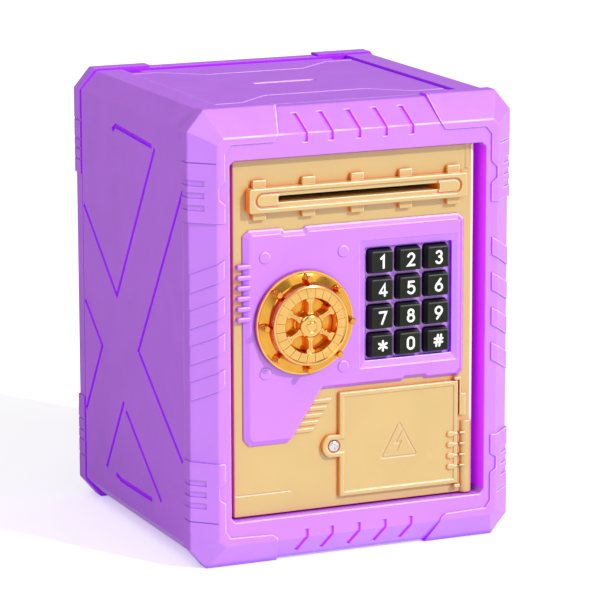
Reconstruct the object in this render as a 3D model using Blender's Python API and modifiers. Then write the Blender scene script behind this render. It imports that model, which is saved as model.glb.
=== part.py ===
"""Toy safe coin bank: a plastic safe with a hinged door, dial latch, keypad, note feeder and coin slot.

Lengths are in millimetres here and the helpers turn them into metres. Positions are given as (x, depth, z):
x to the viewer's right, depth from the front face of the frame towards the back, z up from the floor.
"""

import math

import bmesh
import bpy
from mathutils import Matrix, Vector

MM = 0.001
WELD = 0.000002                          # metres; joins a curve's caps to its sides

# ---- driving dimensions -------------------------------------------------------------------------------------
WIDTH = 140.0
HEIGHT = 184.3
DEPTH = 135.5
DIAL_NOSE = -6.4                         # depth of the dial's middle, which stands in front of the frame
MIDDLE = (DEPTH + DIAL_NOSE) / 2         # depth of the origin, half way along the whole object
WALL = 2.2
GAP = 0.3                                # between two pieces that are not joined

CORNER_X, CORNER_Z = 7.0, 8.3            # cut corners of the casing
ARMOUR = 1.0                             # corner plates stand proud of the top and bottom edges
ARMOUR_FROM = 38.0                       # and begin this far from the middle
FACE_INSET_X, FACE_INSET_Z = 9.2, 10.5   # the front face lies inside the outline
FACE_CORNER_X, FACE_CORNER_Z = 2.7, 2.4
CHAMFER = 8.9                            # depth of the sloped border
FRAME_BACK = 14.7
SHELL = (15.0, 127.8)
REAR = (128.1, DEPTH)

OPENING_X = 55.3                         # door opening in the frame
OPENING_Z = (20.0, 164.5)
OPENING_CORNER = 1.7

HINGE_X, HINGE_DEPTH = 49.0, 6.2         # axis of the door
PIN_R = 0.8
PIN_HOLE_R = 1.1
LOWER_BARREL_R, LOWER_BARREL_Z = 2.9, (20.3, 50.6)
UPPER_BARREL_R, UPPER_BARREL_Z = 1.7, (154.0, 163.9)

DOOR_X = (-52.5, 52.2)
DOOR_Z = (21.4, 163.0)
DOOR_FACE, DOOR_THICK = 5.0, 3.0
BOX_X = (-49.5, 48.0)                    # electronics box behind the door's front
BOX_Z = (22.6, 160.5)
BOX_BACK = 33.0
BOX_WALL = 1.8

PANEL_X, PANEL_DEPTH = 51.2, (21.3, 127.5)   # inset top panel
PANEL_Z = (180.3, 182.3)
COIN_SLOT = (27.5, 3.6)
COIN_SLOT_DEPTH = 74.5

NOTE_X, NOTE_Z = 34.9, (146.9, 149.5)    # note slot
BEZEL_X, BEZEL_Z, BEZEL_FRONT = 47.1, (143.1, 152.9), 0.7
TAB_PITCH, TAB_WIDTH, TAB_HEIGHT, TAB_FRONT = 21.0, 5.6, 3.0, 2.9

FASCIA_FRONT, FASCIA_BACK = 3.0, 4.7
DIAL_X, DIAL_Z = -23.5, 98.0
DIAL_R = 21.0
SHAFT_R, SHAFT_HOLE_R = 2.9, 3.25

KEY_X, KEY_Z = 22.6, 102.45              # middle of the keypad
KEY_PITCH_X, KEY_PITCH_Z = 12.3, 11.35
KEY_FRONT = 1.5
KEY_TRAY_X, KEY_TRAY_Z = 19.15, 22.95    # half sizes of the keypad recess
KEY_FLOOR = 5.5
KEY_ROWS = (("1", "2", "3"), ("4", "5", "6"), ("7", "8", "9"), ("star", "0", "hash"))

COVER_X, COVER_Z = (-7.6, 45.0), (24.8, 67.6)    # battery cover
COVER_DEPTH = (3.0, 4.7)
COVER_SCREW = (-10.0, 45.9)
COVER_TAB_R = 5.1
COVER_AXIS = (44.2, 3.85)
BAY_X, BAY_Z, BAY_BACK = (-9.8, 45.9), (24.4, 68.2), 22.8
CELL_R, CELL_LENGTH, CELL_DEPTH = 7.05, 50.2, 15.4
CELL_Z = (32.0, 46.3, 60.6)
CELL_NUB_R, CELL_NUB = 2.4, 1.2          # the cell's raised end
SPRING_R, SPRING_WIRE_R, SPRING_TURNS = 3.6, 0.35, 2

RACK_MODULE, PINION_TEETH = 0.9, 12
PINION_PITCH_R = RACK_MODULE * PINION_TEETH / 2
BOLT_DEPTH = (9.8, 13.8)
BOLT_X, BOLT_Z = (-49.2, -9.5), (86.0, 91.2)
BOLT_TRAVEL = PINION_PITCH_R * math.pi / 2
PLUNGER_X = -38.0

ROLLER_DEPTH, DRIVE_Z, PINCH_Z = 19.5, 141.9, 152.0
DRIVE_R, PINCH_R, ROLLER_HALF = 6.0, 3.5, 31.0
DRIVE_SHAFT_R, PINCH_SHAFT_R, PINCH_END = 1.5, 1.2, 37.0
GEAR_MODULE, GEAR_TEETH, MOTOR_TEETH = 0.6, 36, 10
MOTOR_DEPTH, MOTOR_Z, MOTOR_R = 24.5, 128.8, 7.0
PLATE_X = (35.2, 36.8)                   # side plates of the feeder frame
GEAR_X = (37.3, 39.4)

DOOR_SCREWS = ((-44.0, 29.0), (-44.0, 155.5), (42.6, 155.5), (42.6, 73.5))
REAR_SCREWS = ((-62.5, 15.5), (62.5, 15.5), (-62.5, 169.0), (62.5, 169.0))
SCREW_HOLE_R = 1.75                      # rear cover


# ---- scene and helpers --------------------------------------------------------------------------------------
def clear_scene():
    for thing in list(bpy.data.objects):
        bpy.data.objects.remove(thing, do_unlink=True)


def collection(name):
    made = bpy.data.collections.new(name)
    bpy.context.scene.collection.children.link(made)
    return made


clear_scene()
PARTS = collection("toy_safe_coin_bank")
CUTTERS = collection("cutters")


def world(x, depth, z):
    """A point in metres from (x, depth, z) in millimetres; the origin is on the floor under the middle."""
    return Vector((x, depth - MIDDLE, z)) * MM


def linear(rgb):
    """Display colour 0 to 255 as the linear colour a shader takes."""
    return [((channel / 255 + 0.055) / 1.055) ** 2.4 for channel in rgb] + [1.0]


def finish(name, rgb, roughness, metallic=0.0):
    made = bpy.data.materials.new(name)
    made.use_nodes = True
    shader = made.node_tree.nodes["Principled BSDF"]
    shader.inputs["Base Color"].default_value = linear(rgb)
    shader.inputs["Roughness"].default_value = roughness
    shader.inputs["Metallic"].default_value = metallic
    return made


def link(name, mesh, material=None):
    """A part when it has a material, otherwise a hidden tool for cutting or joining."""
    thing = bpy.data.objects.new(name, mesh)
    (PARTS if material else CUTTERS).objects.link(thing)
    if material:
        mesh.materials.append(material)
    else:
        thing.hide_render = True
        thing.display_type = "WIRE"
    return thing


def mesh_from(bm, name):
    mesh = bpy.data.meshes.new(name)
    bmesh.ops.recalc_face_normals(bm, faces=bm.faces)
    bm.to_mesh(mesh)
    bm.free()
    return mesh


def box(name, x, depth, z, material=None, bevel=0.0, segments=1):
    low, high = world(x[0], depth[0], z[0]), world(x[1], depth[1], z[1])
    bm = bmesh.new()
    bmesh.ops.create_cube(bm, size=1.0)
    bmesh.ops.scale(bm, vec=high - low, verts=bm.verts)
    if bevel:
        bmesh.ops.bevel(bm, geom=list(bm.edges), offset=bevel * MM, segments=segments, affect="EDGES")
    made = link(name, mesh_from(bm, name), material)
    made.location = (low + high) / 2
    return made


TURN = {
    "X": Matrix.Rotation(math.pi / 2, 3, "Y"),
    "D": Matrix.Rotation(-math.pi / 2, 3, "X"),
    "Z": Matrix.Identity(3),
}


def on_axis(axis, along, at):
    """The point at a distance along an axis whose other two coordinates are given, in (x, depth, z) order."""
    place = {"X": (along, *at), "D": (at[0], along, at[1]), "Z": (*at, along)}
    return world(*place[axis])


def rod(name, axis, span, at, radius, material=None, segments=24):
    bm = bmesh.new()
    length, r = (span[1] - span[0]) * MM, radius * MM
    bmesh.ops.create_cone(bm, cap_ends=True, segments=segments, radius1=r, radius2=r, depth=length)
    bmesh.ops.rotate(bm, matrix=TURN[axis], verts=bm.verts)
    made = link(name, mesh_from(bm, name), material)
    made.location = on_axis(axis, sum(span) / 2, at)
    made.data.shade_smooth()
    made.data.set_sharp_from_angle(angle=math.radians(35))
    return made


def turned(name, axis, at, profile, material=None, segments=24):
    """A solid of revolution; profile is (radius, place along the axis), from its far end to its near end."""
    mesh = bpy.data.meshes.new(name)
    zero = profile[0][1]
    points = [(radius * MM, 0.0, (along - zero) * MM) for radius, along in profile]
    closed = profile[0][0] > 0
    edges = [(i, i + 1) for i in range(len(points) - 1)] + ([(len(points) - 1, 0)] if closed else [])
    mesh.from_pydata(points, edges, [])
    made = link(name, mesh, material)
    screw = made.modifiers.new("turn", "SCREW")
    screw.steps = segments
    screw.render_steps = segments
    screw.use_merge_vertices = True
    screw.merge_threshold = 0.000001
    screw.use_smooth_shade = True
    made.rotation_euler = TURN[axis].to_euler()
    made.location = on_axis(axis, zero, at)
    return made


def solid_from_curve(curve, turn=None):
    """The closed mesh of a curve's evaluated shape, turned when asked; the curve's object is removed."""
    source = bpy.data.objects.new(curve.name, curve)
    bpy.context.scene.collection.objects.link(source)
    bpy.context.view_layer.update()
    evaluated = source.evaluated_get(bpy.context.evaluated_depsgraph_get())
    loose = bpy.data.meshes.new_from_object(evaluated)
    bm = bmesh.new()
    bm.from_mesh(loose)
    bpy.data.objects.remove(source)
    bmesh.ops.remove_doubles(bm, verts=bm.verts, dist=WELD)
    if turn:
        bmesh.ops.rotate(bm, matrix=turn, verts=bm.verts)
    return mesh_from(bm, curve.name)


# What a prism's outline, drawn on X and Y and thickened along Z, becomes for each axis it can lie along.
PRISM_TURN = {
    "X": Matrix(((0, 0, 1), (1, 0, 0), (0, 1, 0))),
    "D": Matrix(((1, 0, 0), (0, 0, -1), (0, 1, 0))),
    "Z": Matrix.Identity(3),
}


def prism(name, axis, span, outline, material=None):
    """A flat outline, in the two coordinates across the axis, given thickness along it."""
    curve = bpy.data.curves.new(name, "CURVE")
    curve.dimensions = "2D"
    curve.fill_mode = "BOTH"
    curve.extrude = (span[1] - span[0]) / 2 * MM
    spline = curve.splines.new("POLY")
    spline.points.add(len(outline) - 1)
    for point, (u, v) in zip(spline.points, outline):
        point.co = (u * MM, v * MM, 0.0, 1.0)
    spline.use_cyclic_u = True
    made = link(name, solid_from_curve(curve, PRISM_TURN[axis]), material)
    made.location = on_axis(axis, sum(span) / 2, (0.0, 0.0))
    return made


def loft(name, sections, material=None):
    """Joins outlines of equal point count, each given as (depth, [(x, z), ...]), and closes both ends."""
    bm = bmesh.new()
    rings = [[bm.verts.new(world(x, depth, z)) for x, z in outline] for depth, outline in sections]
    count = len(rings[0])
    for near, far in zip(rings, rings[1:]):
        for i in range(count):
            j = (i + 1) % count
            bm.faces.new((near[i], near[j], far[j], far[i]))
    bm.faces.new(rings[0])
    bm.faces.new(list(reversed(rings[-1])))
    return link(name, mesh_from(bm, name), material)


def combine(target, tools, operation):
    for tool in tools:
        step = target.modifiers.new(tool.name, "BOOLEAN")
        step.operation = operation
        step.solver = "EXACT"
        step.object = tool
    return target


def cut(target, *tools):
    return combine(target, tools, "DIFFERENCE")


def join(target, *tools):
    return combine(target, tools, "UNION")


def settled(thing):
    """Turns an object's modifiers into plain mesh, for a mesh that several objects share."""
    bpy.context.view_layer.update()
    mesh = bpy.data.meshes.new_from_object(thing.evaluated_get(bpy.context.evaluated_depsgraph_get()))
    thing.modifiers.clear()
    thing.data = mesh
    return mesh


def adopt(child, axis):
    """Parents a piece to an axis and leaves it where it stands."""
    child.parent = axis
    child.matrix_parent_inverse = Matrix.Translation(-axis.location)


def carry(name, at, things, rides_on=None):
    """An empty on a joint's axis, carrying the pieces that move on it."""
    axis = bpy.data.objects.new(name, None)
    axis.empty_display_size = 0.01
    axis.location = world(*at)
    PARTS.objects.link(axis)
    if rides_on:
        adopt(axis, rides_on)
    for thing in things:
        adopt(thing, axis)
    return axis


def arc(centre, radius, start, end, count):
    """Points on an arc, angles in degrees."""
    angles = [math.radians(start + (end - start) * i / (count - 1)) for i in range(count)]
    return [(centre[0] + radius * math.cos(a), centre[1] + radius * math.sin(a)) for a in angles]


def chamfered(x, z, cut_x, cut_z):
    """A rectangle with its corners cut."""
    return [
        (x[0] + cut_x, z[0]), (x[1] - cut_x, z[0]), (x[1], z[0] + cut_z), (x[1], z[1] - cut_z),
        (x[1] - cut_x, z[1]), (x[0] + cut_x, z[1]), (x[0], z[1] - cut_z), (x[0], z[0] + cut_z),
    ]


def gear_outline(module, teeth, centre, turn=0.0, backlash=0.06):
    """Straight-flanked teeth about a centre; turn is in tooth pitches."""
    pitch_r = module * teeth / 2
    tip, root = pitch_r + 0.85 * module, pitch_r - 1.1 * module
    step = 2 * math.pi / teeth
    points = []
    crest = 0.13 - backlash / 2
    flank = ((-0.34, root), (-crest, tip), (crest, tip), (0.34, root))
    for i in range(teeth):
        for share, radius in flank:
            angle = (i + turn + share) * step
            points.append((centre[0] + radius * math.cos(angle), centre[1] + radius * math.sin(angle)))
    return points


# ---- materials ----------------------------------------------------------------------------------------------
PURPLE = finish("purple_plastic", (190, 110, 238), 0.42)
GOLD = finish("gold_plastic", (232, 186, 100), 0.38)
PLATED = finish("gold_plating", (240, 178, 84), 0.16, 1.0)
CHARCOAL = finish("charcoal_plastic", (55, 60, 52), 0.45)
STEEL = finish("bright_steel", (190, 192, 196), 0.25, 1.0)
RUBBER = finish("grey_rubber", (70, 70, 72), 0.8)
BOARD = finish("board_green", (30, 92, 50), 0.5)
BLACK = finish("black_plastic", (28, 28, 30), 0.5)
NICKEL = finish("nickel_contact", (205, 200, 188), 0.3, 1.0)
CELL = finish("cell_wrap", (40, 60, 130), 0.35)
NYLON = finish("white_nylon", (232, 230, 222), 0.5)


# ---- casing -------------------------------------------------------------------------------------------------
def casing_outline(inset_x, inset_z, cut_x, cut_z, armour):
    """The casing seen from the front, anticlockwise, with the corner plates a step proud at top and bottom."""
    half = WIDTH / 2 - inset_x
    low, high = inset_z, HEIGHT - inset_z
    step = 1.5
    right = [
        (ARMOUR_FROM, low + armour), (ARMOUR_FROM + step, low), (half - cut_x, low), (half, low + cut_z),
        (half, high - cut_z), (half - cut_x, high), (ARMOUR_FROM + step, high), (ARMOUR_FROM, high - armour),
    ]
    return right + [(-x, z) for x, z in reversed(right)]


def shell_outline(inset):
    """The casing between the front frame and the rear cover, which has no corner plates."""
    shrink = inset * 0.42
    x = WIDTH / 2 - 0.2 - inset
    z = (ARMOUR + inset, HEIGHT - ARMOUR - inset)
    return chamfered((-x, x), z, CORNER_X - shrink, CORNER_Z - ARMOUR - shrink)


def opening_outline(grow):
    """The door opening, grown by a distance on every side."""
    x = OPENING_X + grow
    return chamfered((-x, x), (OPENING_Z[0] - grow, OPENING_Z[1] + grow), OPENING_CORNER, OPENING_CORNER)


def front_frame():
    face = casing_outline(FACE_INSET_X, FACE_INSET_Z, FACE_CORNER_X, FACE_CORNER_Z, 0.0)
    outer = casing_outline(0.0, 0.0, CORNER_X, CORNER_Z, ARMOUR)
    frame = loft("front_frame", [(0.0, face), (CHAMFER, outer), (FRAME_BACK, outer)], PURPLE)

    near = casing_outline(FACE_INSET_X + 0.2, FACE_INSET_Z + 0.2, FACE_CORNER_X, FACE_CORNER_Z, 0.0)
    inner = casing_outline(WALL, WALL + 0.4, CORNER_X - 0.9, CORNER_Z - 0.9, 0.4)
    channel = loft("frame_channel", [(WALL, near), (CHAMFER + 1.1 * WALL, inner), (FRAME_BACK + 1, inner)])
    jamb_x, jamb_z = OPENING_X + WALL, (OPENING_Z[0] - WALL, OPENING_Z[1] + WALL)
    jamb = box("frame_jamb", (-jamb_x, jamb_x), (0, FRAME_BACK + 5), jamb_z)
    cut(channel, jamb)

    hinge = (HINGE_X, HINGE_DEPTH)
    lower = rod("frame_boss_lower", "Z", (11.0, OPENING_Z[0] - 1.0), hinge, 3.4)
    upper = rod("frame_boss_upper", "Z", (OPENING_Z[1] + 1.0, 173.2), hinge, 3.4)
    hole_low = rod("frame_hole_lower", "Z", (11.7, 22), hinge, PIN_HOLE_R, segments=12)
    hole_high = rod("frame_hole_upper", "Z", (162, 172.7), hinge, PIN_HOLE_R, segments=12)
    opening = prism("frame_opening", "D", (-1, FRAME_BACK + 5), opening_outline(0.0))
    edge = loft("frame_edge", [(-1.5, opening_outline(2.5)), (1.5, opening_outline(-0.5))])
    window = box("frame_latch_window", (-60, -OPENING_X + 1), (BOLT_DEPTH[0] - 0.6, 20),
                 (BOLT_Z[0] - 0.8, BOLT_Z[1] + 0.8))
    cut(frame, channel)
    join(frame, lower, upper)
    return cut(frame, opening, edge, hole_low, hole_high, window)


def body_shell():
    shell = loft("body_shell", [(SHELL[0], shell_outline(0.0)), (SHELL[1], shell_outline(0.0))], PURPLE)
    hollow = loft("shell_hollow", [(SHELL[0] - 1, shell_outline(WALL)), (SHELL[1] + 1, shell_outline(WALL))])
    rim_x = PANEL_X + GAP
    window = box("shell_window", (-rim_x, rim_x), (PANEL_DEPTH[0] - GAP, 140), (PANEL_Z[0] - GAP, 190))
    rails = [
        box(f"shell_rail_{side}", sorted((side * (PANEL_X - 2.6), side * (rim_x + 2.0))),
            (PANEL_DEPTH[0] - 3, SHELL[1] - 0.5), (178.2, 182.0))
        for side in (-1, 1)
    ]
    bosses, holes = [], []
    for i, at in enumerate(REAR_SCREWS, 1):
        bosses.append(rod(f"shell_boss_{i}", "D", (100, SHELL[1] - 0.2), at, 5.4))
        holes.append(rod(f"shell_boss_hole_{i}", "D", (112, 130), at, SCREW_HOLE_R, segments=12))
    cut(shell, hollow)
    join(shell, *rails, *bosses)
    return cut(shell, window, *holes)


def top_panel():
    panel = box("top_panel", (-PANEL_X, PANEL_X), PANEL_DEPTH, PANEL_Z, PURPLE)
    half_x, half_d = COIN_SLOT[0] / 2, COIN_SLOT[1] / 2
    near, far = COIN_SLOT_DEPTH - half_d, COIN_SLOT_DEPTH + half_d
    wall = 2.0
    chute = box("coin_chute", (-half_x - wall, half_x + wall), (near - wall, far + wall), (172, PANEL_Z[0] + 0.5))
    slot = box("coin_slot", (-half_x, half_x), (near, far), (170, 185))
    notches = [
        box(f"panel_notch_{side}", sorted((side * 43.6, side * 60)), (122.5, 130), (175, 190))
        for side in (-1, 1)
    ]
    join(panel, chute)
    return cut(panel, slot, *notches)


def rear_cover():
    outer = casing_outline(0.0, 0.0, CORNER_X, CORNER_Z, ARMOUR)
    back = casing_outline(3.0, 3.0, CORNER_X - 1.0, CORNER_Z - 1.0, ARMOUR)
    cover = loft("rear_cover", [(REAR[0], outer), (REAR[1] - 3.0, outer), (REAR[1], back)], PURPLE)
    inner = casing_outline(WALL + 0.3, WALL + 1.2, CORNER_X - 1.0, CORNER_Z - 1.0, 0.0)
    inner_back = casing_outline(WALL + 2.0, WALL + 2.6, CORNER_X - 1.0, CORNER_Z - 1.0, 0.0)
    hollow = loft("rear_hollow", [(REAR[0] - 1, inner), (REAR[1] - 3.4, inner), (REAR[1] - WALL, inner_back)])
    bosses, wells, holes = [], [], []
    for i, at in enumerate(REAR_SCREWS, 1):
        bosses.append(rod(f"rear_boss_{i}", "D", (REAR[0] + GAP, 134.5), at, 4.4))
        wells.append(rod(f"rear_well_{i}", "D", (131.0, 138), at, 3.3, segments=20))
        holes.append(rod(f"rear_hole_{i}", "D", (126, 132), at, SCREW_HOLE_R, segments=12))
    cut(cover, hollow)
    join(cover, *bosses)
    return cut(cover, *wells, *holes)


def screw(name, place, head, shank, head_r, shank_r):
    """A pan-head screw along the depth axis; head and shank are depth spans, the head at the far end."""
    profile = [
        (0, head[1]), (head_r * 0.75, head[1]), (head_r, (head[0] + head[1]) / 2), (head_r, head[0]),
        (shank_r, head[0]), (shank_r, shank[0] + 1.0), (0, shank[0]),
    ]
    return turned(name, "D", place, profile, STEEL, 16)


def rear_screws():
    head, shank = (131.3, 133.3), (114, 131.3)
    return [screw(f"rear_screw_{i}", at, head, shank, 2.9, 1.4) for i, at in enumerate(REAR_SCREWS, 1)]


def hinge_pins():
    at = (HINGE_X, HINGE_DEPTH)
    lower = rod("hinge_pin_lower", "Z", (12.0, 31.0), at, PIN_R, STEEL, 12)
    upper = rod("hinge_pin_upper", "Z", (155.0, 172.4), at, PIN_R, STEEL, 12)
    return [lower, upper]


# ---- door ---------------------------------------------------------------------------------------------------
def door_panel():
    panel = box("door_panel", DOOR_X, (DOOR_FACE, DOOR_FACE + DOOR_THICK), DOOR_Z, GOLD, 1.2, 2)
    inside = DOOR_FACE + DOOR_THICK
    shell = box("door_box", BOX_X, (inside - 0.6, BOX_BACK), BOX_Z)
    hollow = box("door_box_hollow", (BOX_X[0] + BOX_WALL, BOX_X[1] - BOX_WALL), (inside - 0.1, BOX_BACK + 1),
                 (BOX_Z[0] + BOX_WALL, BOX_Z[1] - BOX_WALL))
    bay = box("battery_bay", (BAY_X[0] - 1.5, BAY_X[1] + 1.0), (inside - 0.5, BAY_BACK + 1.5),
              (BAY_Z[0] - 1.0, BAY_Z[1] + 1.5))
    bay_hollow = box("battery_bay_hollow", BAY_X, (inside - 0.2, BAY_BACK), BAY_Z)
    bay_mouth = box("battery_bay_mouth", (-4.9, 45.6), (0, inside + 1), (25.4, 67.0))
    hinge = (HINGE_X, HINGE_DEPTH)
    lower = rod("door_barrel_lower", "Z", LOWER_BARREL_Z, hinge, LOWER_BARREL_R)
    upper = rod("door_barrel_upper", "Z", UPPER_BARREL_Z, hinge, UPPER_BARREL_R)
    pin_low = rod("door_pin_hole_lower", "Z", (18, 31.3), hinge, PIN_HOLE_R, segments=12)
    pin_high = rod("door_pin_hole_upper", "Z", (154.7, 166), hinge, PIN_HOLE_R, segments=12)
    slot = box("door_note_slot", (-37, 37), (0, inside + 1), (144.8, 151.6))
    keypad = box("door_keypad_window", (KEY_X - 21.0, KEY_X + 21.0), (0, inside + 1),
                 (KEY_Z - 24.8, KEY_Z + 24.8))
    shaft = rod("door_shaft_hole", "D", (0, 12), (DIAL_X, DIAL_Z), SHAFT_HOLE_R)
    screw_hole = rod("cover_screw_hole", "D", (0, 7.7), COVER_SCREW, 1.7, segments=12)
    latch = box("door_latch_window", (-52, -45), (BOLT_DEPTH[0] - 0.4, BOLT_DEPTH[1] + 0.4),
                (BOLT_Z[0] - 0.4, BOLT_Z[1] + 0.4))
    bosses = [
        rod(f"door_boss_{i}", "D", (inside - 0.5, BOX_BACK), at, 2.7, segments=16)
        for i, at in enumerate(DOOR_SCREWS, 1)
    ]
    holes = [
        rod(f"door_boss_hole_{i}", "D", (22, BOX_BACK + 1), at, 1.3, segments=12)
        for i, at in enumerate(DOOR_SCREWS, 1)
    ]
    guides = [
        box("latch_guide_low", (-31, -11), (inside - 0.5, 14.6), (83.2, BOLT_Z[0] - 0.4)),
        box("latch_guide_high", (-46, -37), (inside - 0.5, 14.6), (BOLT_Z[1] + 0.4, 94)),
    ]
    lugs = [
        box(f"cover_lug_{i}", (COVER_AXIS[0] - 1.2, COVER_AXIS[0] + 1.4), (2.5, DOOR_FACE + 0.5), span)
        for i, span in enumerate(((23.0, COVER_Z[0] - 0.3), (COVER_Z[1] + 0.3, 69.2)), 1)
    ]
    lug_hole = rod("cover_lug_hole", "Z", (20, 69.2 - 0.4), COVER_AXIS, 0.9, segments=10)
    join(panel, shell)
    cut(panel, hollow)
    join(panel, bay, lower, upper, *bosses, *guides, *lugs)
    cut(panel, bay_hollow, bay_mouth, slot, keypad, shaft, latch, screw_hole)
    return cut(panel, pin_low, pin_high, *holes, lug_hole)


def door_back():
    depth = (BOX_BACK + GAP, BOX_BACK + GAP + 2.0)
    plate = box("door_back", BOX_X, depth, BOX_Z, GOLD)
    note = box("note_exit", (-35, 35), (30, 40), (145.0, 151.4))
    holes = [
        rod(f"door_back_hole_{i}", "D", (30, 40), at, 1.4, segments=12) for i, at in enumerate(DOOR_SCREWS, 1)
    ]
    return cut(plate, note, *holes)


def door_screws():
    head, shank = (35.6, 37.2), (25, 35.6)
    return [screw(f"door_screw_{i}", at, head, shank, 2.3, 1.0) for i, at in enumerate(DOOR_SCREWS, 1)]


def slot_bezel():
    bezel = box("slot_bezel", (-BEZEL_X, BEZEL_X), (BEZEL_FRONT, DOOR_FACE - GAP), BEZEL_Z, GOLD, 0.6)
    tabs = [
        box(f"bezel_tab_{i}_{side}", (i * TAB_PITCH - TAB_WIDTH / 2, i * TAB_PITCH + TAB_WIDTH / 2),
            (TAB_FRONT, DOOR_FACE - GAP), span)
        for side, span in enumerate((
            (BEZEL_Z[0] - TAB_HEIGHT, BEZEL_Z[0] + 1), (BEZEL_Z[1] - 1, BEZEL_Z[1] + TAB_HEIGHT),
        ))
        for i in (-2, -1, 0, 1, 2)
    ]
    chute = box("note_chute", (-36.5, 36.5), (4.2, 12.0), (145.3, 151.1))
    recess = box("bezel_recess", (-44.6, 44.6), (0, 2.2), (145.0, 151.2))
    slot = box("note_slot", (-NOTE_X, NOTE_X), (0, 14), NOTE_Z)
    join(bezel, *tabs, chute)
    return cut(bezel, recess, slot)


def fascia_outline():
    """Stepped panel: full width above the battery cover, with a leg down the left side."""
    return [
        (-46.2, 49.2), (-29.8, 49.2), (-16.1, 69.6), (20.0, 69.6), (21.1, 70.5), (29.5, 70.5),
        (30.6, 69.6), (45.0, 69.6), (47.3, 71.8), (47.3, 134.0), (44.8, 136.1), (-21.7, 136.1),
        (-23.2, 134.9), (-30.9, 134.9), (-32.2, 136.1), (-46.1, 136.1), (-48.7, 133.9), (-48.7, 52.1),
    ]


def key_places():
    for row, names in enumerate(KEY_ROWS):
        for column, name in enumerate(names):
            yield name, KEY_X + (column - 1) * KEY_PITCH_X, KEY_Z + (1.5 - row) * KEY_PITCH_Z


def fascia():
    panel = prism("fascia", "D", (FASCIA_FRONT, FASCIA_BACK), fascia_outline(), PURPLE)
    tray = box("keypad_tray", (KEY_X - 20.6, KEY_X + 20.6), (FASCIA_BACK - 0.5, KEY_FLOOR + 1.5),
               (KEY_Z - 24.4, KEY_Z + 24.4))
    recess = box("keypad_recess", (KEY_X - KEY_TRAY_X, KEY_X + KEY_TRAY_X), (0, KEY_FLOOR),
                 (KEY_Z - KEY_TRAY_Z, KEY_Z + KEY_TRAY_Z))
    windows = [
        box(f"key_window_{name}", (x - 5.35, x + 5.35), (0, 9), (z - 5.05, z + 5.05))
        for name, x, z in key_places()
    ]
    shaft = rod("fascia_shaft_hole", "D", (0, 8), (DIAL_X, DIAL_Z), SHAFT_HOLE_R)
    join(panel, tray)
    return cut(panel, recess, shaft, *windows)


def key_mesh():
    """A cap with softened edges on a flange that stays behind the tray's floor."""
    cap = box("key_1", (-4.95, 4.95), (KEY_FRONT, 7.6), (-4.65, 4.65), CHARCOAL)
    bm = bmesh.new()
    bm.from_mesh(cap.data)
    front = min(v.co.y for v in bm.verts)
    for vert in bm.verts:
        if vert.co.y < front + 0.0001:
            vert.co.x *= 0.94
            vert.co.z *= 0.94
    rim = [e for e in bm.edges if min(v.co.y for v in e.verts) < front + 0.0001]
    bmesh.ops.bevel(bm, geom=rim, offset=0.7 * MM, segments=1, affect="EDGES")
    bm.to_mesh(cap.data)
    bm.free()
    flange = box("key_flange", (-5.75, 5.75), (7.3, 8.1), (-5.45, 5.45))
    join(cap, flange)
    settled(cap)
    return cap


def keys():
    made = []
    first = key_mesh()
    height = first.location.y
    for name, x, z in key_places():
        key = first if name == "1" else bpy.data.objects.new(f"key_{name}", first.data)
        if key is not first:
            PARTS.objects.link(key)
        key.location = world(x, 0, z)
        key.location.y = height
        made.append(key)
    return made


def key_membrane():
    x, z = (KEY_X - 19.8, KEY_X + 19.8), (KEY_Z - 23.6, KEY_Z + 23.6)
    mat = box("key_membrane", x, (9.9, 10.7), z, RUBBER)
    domes = [
        rod(f"key_dome_{name}", "D", (9.6, 10.2), place, 2.6, segments=10) for name, *place in key_places()
    ]
    return join(mat, *domes)


def keypad_board():
    x, z = (KEY_X - 20.8, KEY_X + 20.8), (KEY_Z - 24.6, KEY_Z + 24.6)
    return box("keypad_board", x, (11.0, 12.2), z, BOARD)


def control_board():
    board = box("control_board", (0.0, 44.0), (15.2, 16.8), (78.0, 119.0), BOARD)
    chip = box("board_chip", (14, 28), (16.5, 18.6), (92, 106))
    plug = box("board_plug", (32, 41), (16.5, 21.5), (82, 87))
    can = rod("board_capacitor", "D", (16.5, 24.0), (7.0, 112.0), 3.2, segments=16)
    posts = [rod(f"board_post_{x}", "D", (12.5, 15.6), (x, 98.0), 1.5, segments=10) for x in (3.0, 41.0)]
    return join(board, chip, plug, can, *posts)


def speaker():
    profile = [
        (0, 16.5), (6.5, 16.5), (6.5, 12.5), (13.8, 10.4), (13.8, 8.4), (12.6, 8.4), (8.0, 10.0), (0, 10.8),
    ]
    return turned("speaker", "D", (-26.6, 48.0), profile, BLACK, 28)


def batteries():
    """Three cells, the middle one turned round, each between a spring and a contact plate."""
    made = []
    for i, z in enumerate(CELL_Z, 1):
        turned_round = i == 2
        start = -8.4 if turned_round else -5.4
        end = start + CELL_LENGTH
        if turned_round:
            nub = start + CELL_NUB
            profile = [(0, end), (CELL_R, end), (CELL_R, nub)]
            profile += [(CELL_NUB_R, nub), (CELL_NUB_R, start), (0, start)]
            plate_x = BAY_X[0] + 0.4
            spring_x = (end + 0.75, BAY_X[1] - 0.75)
        else:
            nub = end - CELL_NUB
            profile = [(0, end), (CELL_NUB_R, end), (CELL_NUB_R, nub)]
            profile += [(CELL_R, nub), (CELL_R, start), (0, start)]
            plate_x = end + 0.35
            spring_x = (BAY_X[0] + 0.75, start - 0.75)
        plate = box(f"contact_plate_{i}", (plate_x, plate_x + 0.4), (CELL_DEPTH - 4.2, CELL_DEPTH + 4.2),
                    (z - 4.5, z + 4.5), NICKEL)
        cell = turned(f"battery_cell_{i}", "X", (CELL_DEPTH, z), profile, CELL, 24)
        made += [cell, plate, battery_spring(f"battery_spring_{i}", spring_x, z)]
    return made


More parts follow.
